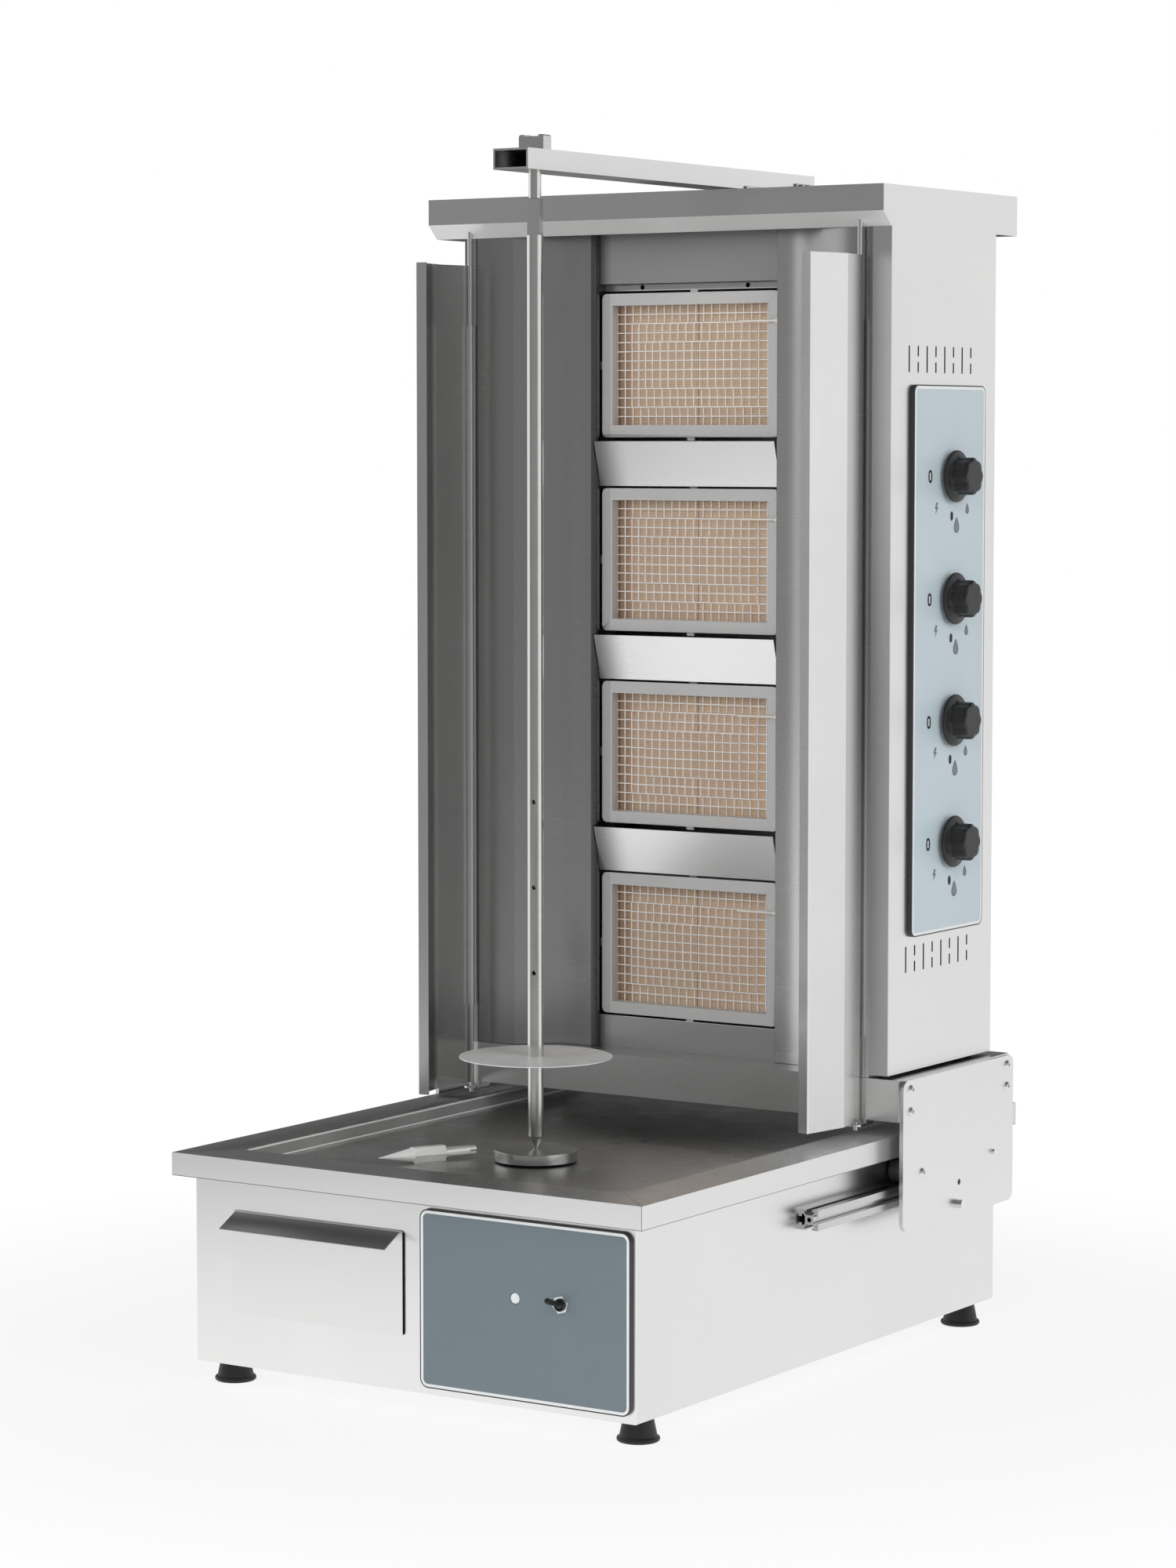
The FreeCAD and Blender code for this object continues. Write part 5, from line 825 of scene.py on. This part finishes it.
class GRILL_OT_tower_sheets(GrillOperator):
    """Housing, hood, reflectors, sheets between the burners, arm and doors"""

    bl_idname = "grill.tower_sheets"
    bl_label = "Tower sheets"

    THIN_EDGE = 0.2
    INNER_SKIN = 1.1 * MM
    # The hood's chamfer, up and back from its lower front edge, made less metallic as a stand-in for its
    # reflection
    CHAMFER_HEIGHT = 14.2 * MM
    CHAMFER_DEPTH = 16.0 * MM
    # Heights between which the control housing's front is painted darker downwards, as painted shade
    HOUSING_FADE = (0.95, 0.65)
    HOUSING_SHADE = 0.4
    # The reflector's bends, from its middle
    OUTER_BEND = 184.5 * MM
    SLOPE_BEND = 147.3 * MM
    RETURN_BEND = 111.4 * MM
    RETURN_FOOT = 100 * MM
    # How far the reflector's strips are painted in shade, and where the painted shade on its right wing
    # comes in: outwards and up
    OUTER_SHADE = 0.8
    SLOPE_SHADE = 0.6
    FLAT_SHADE = 0.65
    RETURN_SHADE = 0.6
    RIGHT_SHADE = 0.85
    RIGHT_FADE_OUT = (112 * MM, 150 * MM)
    RIGHT_FADE_UP = (0.4, 0.75)
    # The sheets above and below the burners and the holes in the upper one, with painted shade on the sheets
    # and round the holes
    BOTTOM_SHEET = 32 * MM
    TOP_SHEET = 74 * MM
    SHEET_SHADE = 0.5
    SHADED_END = 40 * MM
    END_SHADE = 0.7
    HOLE_OFFSET = 63.2 * MM
    HOLE_HEIGHT = 1073.4 * MM
    HOLE_SHADOW = 2.6 * MM
    # Width of the burner frames' left bars, which are painted in shade
    FRAME_BAR = 12 * MM
    # Distances from its hinge over which the right door is made less metallic, standing in for a lighter
    # reflection there, and its bright free edge
    DULL_FROM = (4 * MM, 40 * MM)
    FREE_EDGE = 3 * MM

    def build(self):
        """Broken-edge copies in brushed steel, with painted shade and painted light on the sheets round the
        burners.
        """
        edge = sizes().sheet_edge / MM
        tone = colours()
        bright = brushed("tower_sheet", tone["stainless"])
        for node in ("tower_back", "tower_side"):
            broken_edges(node, bright, self.THIN_EDGE)
        broken_edges("control_housing", self.housing(tone["stainless"]), self.THIN_EDGE)
        top = brushed("hood_sheet", tone["stainless"], warp=0.3)
        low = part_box("hood")[0]
        chamfer = (top.z < low.z + self.CHAMFER_HEIGHT) * (top.y < low.y + self.CHAMFER_DEPTH)
        top.metal(1.0 - 0.7 * chamfer)
        broken_edges("hood", top, edge)
        broken_edges("arm_tube", brushed("arm_sheet", tone["stainless"], "y"), edge)
        broken_edges("arm_guides", brushed("guide_sheet", shade(tone["stainless"], 0.7)), edge)
        broken_edges("reflectors", self.wings(tone["reflector"]), edge)
        broken_edges("deflectors", self.slanted(tone["reflector"]), edge)
        frames = brushed("frame_sheet", (0.62, 0.615, 0.61), "x", roughness=0.45, metallic=0.3)
        # Painted shade on the burner frames' left bars
        shaded_left_bar = frames.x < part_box("burner_frames")[0].x + self.FRAME_BAR
        frames.overlay(0.3 * shaded_left_bar, (0.25, 0.25, 0.25))
        broken_edges("burner_frames", frames, edge * 0.7)
        broken_edges("burner_bodies", brushed("burner_box_sheet", shade(tone["reflector"], 0.7)), edge)
        for node in ("door_left", "door_right"):
            broken_edges(node, self.door(node, tone["stainless"]), edge)

    def housing(self, colour):
        """Sheet whose inner faces are painted black as painted shade, so that its slots read as openings,
        and whose front is painted darker downwards as painted shade.
        """
        finish = brushed("housing_sheet", colour)
        low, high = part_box("control_housing")
        within_x = (finish.x > low.x + self.INNER_SKIN) * (finish.x < high.x - self.INNER_SKIN)
        finish.overlay(within_x * (finish.y > low.y + self.INNER_SKIN))
        shaded_front_foot = finish.step(finish.z, *self.HOUSING_FADE) * (finish.y < low.y + self.INNER_SKIN)
        finish.overlay(self.HOUSING_SHADE * shaded_front_foot, shade(colour, 0.4))
        return finish

    def wings(self, colour):
        """Reflector sheet with painted shade on its left wing, on its right wing's upper part and on its
        returns, standing in for its reflections.
        """
        finish = brushed("reflector_sheet", colour, roughness=0.26, cloud=0.1, warp=0.6)
        low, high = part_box("reflectors")
        inward = finish.x - (low.x + high.x) / 2
        outer = self.OUTER_SHADE * (inward < -self.OUTER_BEND)
        slope = self.SLOPE_SHADE * (inward < -self.SLOPE_BEND)
        flat = self.FLAT_SHADE * (inward > -self.SLOPE_BEND) * (inward < -self.RETURN_FOOT)
        left = (outer + flat).larger(slope)
        right = finish.step(inward, *self.RIGHT_FADE_OUT) * finish.step(finish.z, *self.RIGHT_FADE_UP)
        finish.overlay(left.larger(self.RIGHT_SHADE * right), shade(colour, 0.5))
        finish.overlay(self.RETURN_SHADE * (abs(inward) < self.RETURN_BEND))
        return finish

    def slanted(self, colour):
        """Slanted sheets painted brighter than the reflector as painted light, with painted shade at their
        left ends, on the sheets above and below the burners and in rings round the two holes."""
        finish = brushed("deflector_sheet", shade(colour, 1.42), "x", roughness=0.25, cloud=0.08,
                         metallic=0.7)
        low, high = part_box("deflectors")
        ends = (finish.z < low.z + self.BOTTOM_SHEET).larger(finish.z > high.z - self.TOP_SHEET)
        shaded_end = finish.step(finish.x, low.x + self.SHADED_END, low.x)
        finish.overlay((self.SHEET_SHADE * ends).larger(self.END_SHADE * shaded_end))
        for side in (-1, 1):
            hole_x = (low.x + high.x) / 2 + side * self.HOLE_OFFSET
            finish.overlay(finish.round_spot(hole_x, self.HOLE_HEIGHT, self.HOLE_SHADOW))
        return finish

    def door(self, node, colour):
        """Door sheet. The right door is made less mirror-like away from its hinge, standing in for a lighter
        reflection there.
        """
        finish = brushed(node + "_sheet", colour, roughness=0.24, cloud=0.08, warp=0.5)
        if node == "door_right":
            low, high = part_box(node)
            from_hinge = high.y - finish.y
            dull = finish.step(from_hinge, *self.DULL_FROM) * (finish.y > low.y + self.FREE_EDGE)
            finish.metal(1.0 - 0.9 * dull)
        return finish


class GRILL_OT_turned_parts(GrillOperator):
    """Spit, puck, pins, screws, rails and rollers"""

    bl_idname = "grill.turned_parts"
    bl_label = "Turned parts"

    def build(self):
        """Smooth copies in turned steel, aluminium and plastic."""
        shaft = turned("spit_steel", (0.72, 0.72, 0.71), 0.18)
        for node in ("spit_tube", "spit_tip", "drive_shaft", "top_pin", "spit_socket"):
            broken_edges(node, shaft, 0.3)
        broken_edges("spare_tip", turned("spare_steel", (0.92, 0.92, 0.91), 0.2, 0.25), 0.3)
        broken_edges("drive_puck", turned("puck_steel", (0.58, 0.58, 0.57), 0.3), 0.3)
        broken_edges("top_pin_grip", brushed("grip_block", (0.66, 0.66, 0.65), "y", 0.32), 0.4)
        disc = mottled("disc_sheet", (0.84, 0.84, 0.83), (0.76, 0.75, 0.74), 0.42, 0.15)
        broken_edges("spit_disc", disc, 0.2)
        screws = brushed("screw_steel", (0.80, 0.80, 0.79), "x", 0.3, metallic=0.9)
        for node in ("tower_screws", "base_screws"):
            broken_edges(node, screws, 0.25)
        broken_edges("slide_rails", brushed("profile_metal", (0.60, 0.60, 0.61), "y", 0.3), 0.25)
        nylon = moulded("roller_nylon", (0.05, 0.05, 0.05), 0.4)
        for side in ("left", "right"):
            for place in ("front", "rear", "lower"):
                broken_edges("roller_%s_%s" % (side, place), nylon, 0.2)


class GRILL_OT_inner_parts(GrillOperator):
    """Motor, bearing, gas train and igniters"""

    bl_idname = "grill.inner_parts"
    bl_label = "Inner parts"

    def build(self):
        """Finishes of the pieces inside, and copies of those that can be seen."""
        broken_edges("gearmotor", moulded("motor_paint", (0.10, 0.11, 0.12), 0.45), 1.2)
        iron = mottled("bearing_iron", (0.12, 0.12, 0.12), (0.09, 0.07, 0.06))
        broken_edges("spindle_bearing", iron, 0.4)
        broken_edges("gas_manifold", turned("gas_pipe_steel", (0.45, 0.45, 0.45), 0.35), 0.3)
        cock = turned("valve_brass", (0.62, 0.45, 0.18), 0.3)
        broken_edges("gas_valves", cock, 0.5)
        for number in range(1, 5):
            broken_edges("gas_spindle_%d" % number, cock, 0.2)
        broken_edges("burner_igniters", turned("electrode_wire", (0.92, 0.86, 0.78), 0.2, 0.2), 0.15)
        broken_edges("power_gland", moulded("gland_plastic", colours()["black"], 0.5), 0.5)


class GRILL_OT_burner_wires(GrillOperator):
    """Pressed wire mesh in front of each burner"""

    bl_idname = "grill.burner_wires"
    bl_label = "Burner wires"

    BURNERS = 4
    CELLS_HIGH = 13
    STATIONS_PER_CELL = 8
    WIRE_SIDES = 5
    BACK_GAP = 1.3 * MM
    # Half the cells across and up each level, its height, and the width of the slope at its edge
    LEVELS = ((8.0, 4.5), (6.0, 2.5))
    LEVEL_HEIGHT = 3.9 * MM
    SLOPE_WIDTH = 1.4 * MM

    def build(self):
        """Welded wires in two layers, whose depth steps forward twice towards the middle."""
        low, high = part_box("burner_meshes")
        size = sizes()
        pitch = size.wire_pitch
        middle_x = (low.x + high.x) / 2
        half_w = (high.x - low.x) / 2
        half_h = self.CELLS_HIGH / 2 * pitch
        drop = (high.z - low.z - 2 * half_h) / (self.BURNERS - 1)
        parts = []
        for row in range(self.BURNERS):
            middle_z = high.z - half_h - drop * row
            for upright in (False, True):
                reach, cross = (half_h, half_w) if upright else (half_w, half_h)
                cells = int(round(2 * reach / pitch))
                stations = np.linspace(-reach, reach, cells * self.STATIONS_PER_CELL + 1)
                lines = np.arange(int(round(2 * cross / pitch)) + 1) * pitch - cross
                line, station = np.meshgrid(lines, stations, indexing="ij")
                x, z = (line, station) if upright else (station, line)
                layer = size.wire_layer if upright else -size.wire_layer
                y = high.y - self.BACK_GAP - self.press(x, z, pitch) + layer
                paths = np.stack([x + middle_x, y, z + middle_z], axis=-1)
                parts.append(tube_grid(paths, size.wire_radius, self.WIRE_SIDES))
        wire = brushed("mesh_wire", (0.97, 0.94, 0.92), "x", 0.25, metallic=0.2)
        piece("burner_wires", surface("burner_wires", *joined(parts)), "tower", wire,
              ("burner_meshes",))

    def press(self, x, z, pitch):
        """How far the mesh stands forward: each level is its height times a smooth step t * t * (3 - 2 t)
        across its edges in X and another across its edges in Z."""
        depth = np.zeros_like(x)
        for across, up in self.LEVELS:
            level = self.LEVEL_HEIGHT
            for place, half in ((x, across * pitch), (z, up * pitch)):
                rise = np.clip((half - np.abs(place)) / self.SLOPE_WIDTH + 0.5, 0, 1)
                level = level * rise * rise * (3 - 2 * rise)
            depth += level
        return depth


class GRILL_OT_burner_tiles(GrillOperator):
    """Ceramic burner tiles"""

    bl_idname = "grill.burner_tiles"
    bl_label = "Burner tiles"

    def build(self):
        """Broken-edge copies with rows of flame holes."""
        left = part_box("burner_tiles")[0].x
        clay = fired_clay("burner_clay", colours()["tile"], (0.47, 0.29, 0.19), left)
        broken_edges("burner_tiles", clay, 0.15)


class GRILL_OT_knobs(GrillOperator):
    """Four fluted gas knobs"""

    bl_idname = "grill.knobs"
    bl_label = "Gas knobs"

    # Distance from the panel, radius, and how deep the flutes are there; millimetres and a share
    PROFILE = (
        (0.0, 0.0, 0), (0.0, 24.8, 0), (0.2, 25.6, 0), (0.8, 26.0, 0), (1.8, 26.0, 0), (2.5, 25.6, 0),
        (3.2, 24.4, 0), (4.0, 22.0, 0), (4.6, 20.2, 0.15), (5.4, 19.3, 0.6), (6.6, 18.9, 0.9),
        (8.0, 18.75, 1), (14.0, 18.65, 1), (19.4, 18.6, 1), (20.7, 18.3, 1), (21.5, 17.6, 1),
        (21.9, 16.6, 1), (22.0, 15.4, 0.9), (22.0, 10.0, 0.3), (21.9, 5.0, 0), (21.9, 0.0, 0))
    DRAWN_LENGTH = 22.0
    FLUTES = 8
    POINTS_ROUND = 192
    SHARP_FROM = 50

    def build(self):
        """Each knob is a profile turned round X, whose grip radius dips in eight flutes."""
        black = moulded("knob_plastic", colours()["black"], 0.42, 0.03)
        for number in range(1, 5):
            node = "gas_knob_%d" % number
            low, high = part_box(node)
            middle = (low + high) / 2
            mesh = surface(node + "_grip", *self.knob(low.x, high.x, middle.y, middle.z))
            mesh.set_sharp_from_angle(angle=math.radians(self.SHARP_FROM))
            piece(node + "_grip", mesh, "gas_knob_%d" % number, black, (node,))

    def knob(self, back, front, y, z):
        """Points and faces of one knob. Its radius(a, s) = profile(s) - grip(s) * depth *
        (1 - |cos 4a|) ** 0.8 leaves eight ribs between eight hollows."""
        stations = np.array(self.PROFILE)
        angle = np.arange(self.POINTS_ROUND) * FULL_TURN / self.POINTS_ROUND
        flute = sizes().knob_flute * (1 - np.abs(np.cos(self.FLUTES / 2 * angle))) ** 0.8
        radius = stations[:, 1, None] * MM - stations[:, 2, None] * flute[None, :]
        radius = np.maximum(radius, 0.0)
        x = back + stations[:, 0, None] * (front - back) / self.DRAWN_LENGTH + np.zeros_like(radius)
        points = np.stack([x, y + radius * np.cos(angle), z + radius * np.sin(angle)], axis=-1)
        return points.reshape(-1, 3), grid_quads(len(stations), self.POINTS_ROUND, wrap_columns=True)


class GRILL_OT_feet(GrillOperator):
    """Adjustable feet"""

    bl_idname = "grill.feet"
    bl_label = "Feet"

    def build(self):
        """Broken-edge copies in black plastic."""
        broken_edges("feet", moulded("foot_plastic", colours()["black"], 0.5), 0.4)


class GRILL_OT_panels(GrillOperator):
    """Front and side control panels with their printed border"""

    bl_idname = "grill.panels"
    bl_label = "Panels"

    WHITE_LINE = (0.88, 0.89, 0.89)
    DARK_EDGE = (0.035, 0.036, 0.04)
    FRONT_CORNER = 9 * MM
    SIDE_CORNER = 8 * MM

    def build(self):
        """Painted plates; the border line is drawn at a fixed distance inside the rounded outline."""
        tone = colours()
        low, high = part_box("front_panel")
        front = printed_plate("front_panel_paint", tone["front_panel"], self.WHITE_LINE, self.DARK_EDGE, "x",
                              (low.x, low.z), (high.x, high.z), self.FRONT_CORNER)
        low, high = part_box("knob_panel")
        side = printed_plate("side_panel_paint", tone["side_panel"], self.WHITE_LINE, self.DARK_EDGE, "y",
                             (low.y, low.z), (high.y, high.z), self.SIDE_CORNER)
        for node, paint in (("front_panel", front), ("knob_panel", side)):
            broken_edges(node, paint, 0.6, 3)


class GRILL_OT_signs(GrillOperator):
    """Printed signs round each gas knob"""

    bl_idname = "grill.signs"
    bl_label = "Dial signs"

    # Each sign's width and height, and its place across and up from the knob's middle; millimetres
    ZERO = ((8.0, 13.0), (-45.1, 0.0))
    DOT = ((6.0, 9.2), (-0.3, -39.7))
    SPARK = ((7.4, 11.4), (-32.0, -31.8))
    LARGE_DROP = ((11.0, 15.5), (9.9, -48.8))
    SMALL_DROP = ((7.2, 10.4), (32.1, -32.6))
    ZERO_STROKE = 2.5
    SIGN_STROKE = 0.7
    BAND_HEIGHT = 0.12
    FIELD_HEIGHT = 0.08
    DOT_LIFT = 0.02 * MM
    POINTS_ROUND = 40
    OVAL_POWER = 2.4
    # The spark's corners, as shares of its width and height
    SPARK_CORNERS = ((-0.05, 0.5), (0.42, 0.5), (0.12, 0.12), (0.5, 0.12), (-0.28, -0.5), (-0.05, -0.02),
                     (-0.45, -0.02))

    def build(self):
        """A zero, a dot and three signs round each knob: each of the three is a closed outline, with a
        dark band along it and a grey field inside."""
        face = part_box("knob_panel")[1].x
        bands = []
        fields = []
        signs = ((self.spark, self.SPARK), (self.drop, self.LARGE_DROP), (self.drop, self.SMALL_DROP))
        for number in range(1, 5):
            low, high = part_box("gas_knob_%d" % number)
            knob = ((low.y + high.y) / 2, (low.z + high.z) / 2)
            bands.append(self.band(self.oval, self.ZERO, face, knob, self.ZERO_STROKE))
            bands.append(self.field(self.oval, self.DOT, face + self.DOT_LIFT, knob))
            for shape, sign in signs:
                bands.append(self.band(shape, sign, face, knob, self.SIGN_STROKE))
                fields.append(self.field(shape, sign, face, knob))
        dark = moulded("sign_ink_dark", (0.008, 0.01, 0.014), 0.6, 0.01)
        grey = moulded("sign_ink_grey", (0.19, 0.22, 0.24), 0.5, 0.01)
        outlines = surface("dial_outlines", *joined(bands), False)
        piece("dial_outlines", outlines, "tower", dark)
        areas = surface("dial_fields", *joined(fields), False)
        piece("dial_fields", areas, "tower", grey)

    def angles(self):
        """Evenly spaced angles of one turn."""
        return np.arange(self.POINTS_ROUND) * FULL_TURN / self.POINTS_ROUND

    def oval(self, width, height):
        """Rounded oval outline: a superellipse."""
        angle = self.angles()
        power = 2 / self.OVAL_POWER
        y = np.sign(np.cos(angle)) * np.abs(np.cos(angle)) ** power * width / 2
        z = np.sign(np.sin(angle)) * np.abs(np.sin(angle)) ** power * height / 2
        return np.stack([y, z], axis=-1)

    def drop(self, width, height):
        """Drop outline: a circle below. Above its middle the width is that of the circle times
        (1 - sin a) ** 0.21, and the height goes as (sin a) ** 1.3 up to a point."""
        angle = self.angles()
        up = np.sin(angle)
        y = np.cos(angle) * width / 2 * np.where(up > 0, (1 - up) ** 0.21, 1.0)
        z = np.where(up > 0, up ** 1.3 * (height - width / 2), up * width / 2)
        return np.stack([y, z - (height - width) / 2], axis=-1)

    def spark(self, width, height):
        """Lightning outline of seven corners."""
        return np.array(self.SPARK_CORNERS) * np.array([width, height])

    def band(self, shape, sign, face, knob, width):
        """Band of this width inside a sign's outline, standing a little proud of the face."""
        size, place = sign
        outline = shape(*size)
        centre = outline.mean(axis=0)
        reach = np.linalg.norm(outline - centre, axis=1, keepdims=True)
        inner = centre + (outline - centre) * (1 - width / reach)
        height = self.BAND_HEIGHT
        loops = ((outline, 0.0), (outline, height), (inner, height), (inner, 0.0))
        quads = grid_quads(len(loops), len(outline), wrap_rows=True, wrap_columns=True)
        return self.stacked(loops, place, face, knob), quads

    def field(self, shape, sign, face, knob):
        """Closed field inside a sign's outline, standing a little proud of the face."""
        size, place = sign
        outline = shape(*size)
        centre = np.repeat(outline.mean(axis=0)[None], len(outline), axis=0)
        height = self.FIELD_HEIGHT
        loops = ((centre, 0.0), (outline, 0.0), (outline, height), (centre, height))
        quads = grid_quads(len(loops), len(outline), wrap_columns=True)
        return self.stacked(loops, place, face, knob), quads

    def stacked(self, loops, place, face, knob):
        """Points of (outline, height) loops, in millimetres, at a place by a knob on the panel's face."""
        y = knob[0] + place[0] * MM
        z = knob[1] + place[1] * MM
        rings = []
        for outline, height in loops:
            x = np.full(len(outline), face + height * MM)
            rings.append(np.column_stack([x, y + outline[:, 0] * MM, z + outline[:, 1] * MM]))
        return np.vstack(rings)


class GRILL_OT_switch(GrillOperator):
    """Toggle switch and lamp"""

    bl_idname = "grill.switch"
    bl_label = "Switch and lamp"

    def build(self):
        """Copies of the switch body and lever in glossy black, and of the lamp with a pale lens."""
        gloss = moulded("switch_black", (0.012, 0.014, 0.014), 0.12, 0.004)
        broken_edges("switch_body", gloss, 0.5)
        broken_edges("switch_lever", gloss, 0.2)
        lens = lamp_lens("lamp_lens", *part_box("pilot_lamp"))
        broken_edges("pilot_lamp", lens, 0.3)


ORDER = ("stage", "base_sheets", "tower_sheets", "turned_parts", "inner_parts", "burner_wires",
         "burner_tiles", "knobs", "feet", "panels", "signs", "switch")


class GRILL_PT_panel(bpy.types.Panel):
    """Lists the grill's operators"""

    bl_label = "Doner grill"
    bl_idname = "GRILL_PT_panel"
    bl_space_type = "VIEW_3D"
    bl_region_type = "UI"
    bl_category = "Grill"

    def draw(self, context):
        """Draws one button for each operator, then the sizes and colours."""
        for name in ORDER:
            self.layout.operator("grill." + name)
        for group in (context.scene.grill_sizes, context.scene.grill_colours):
            for name in type(group).__annotations__:
                self.layout.prop(group, name)


CLASSES = (GrillSizes, GrillColours, GRILL_OT_stage, GRILL_OT_base_sheets, GRILL_OT_tower_sheets,
           GRILL_OT_turned_parts, GRILL_OT_inner_parts, GRILL_OT_burner_wires, GRILL_OT_burner_tiles,
           GRILL_OT_knobs, GRILL_OT_feet, GRILL_OT_panels, GRILL_OT_signs, GRILL_OT_switch, GRILL_PT_panel)


def register():
    """Registers the classes and the scene's settings."""
    for cls in CLASSES:
        bpy.utils.register_class(cls)
    bpy.types.Scene.grill_sizes = bpy.props.PointerProperty(type=GrillSizes)
    bpy.types.Scene.grill_colours = bpy.props.PointerProperty(type=GrillColours)


def unregister():
    """Takes the settings and classes away again."""
    del bpy.types.Scene.grill_colours
    del bpy.types.Scene.grill_sizes
    for cls in reversed(CLASSES):
        bpy.utils.unregister_class(cls)


def main():
    """Builds everything in order."""
    register()
    for name in ORDER:
        getattr(bpy.ops.grill, name)()


if __name__ == "__main__":
    main()
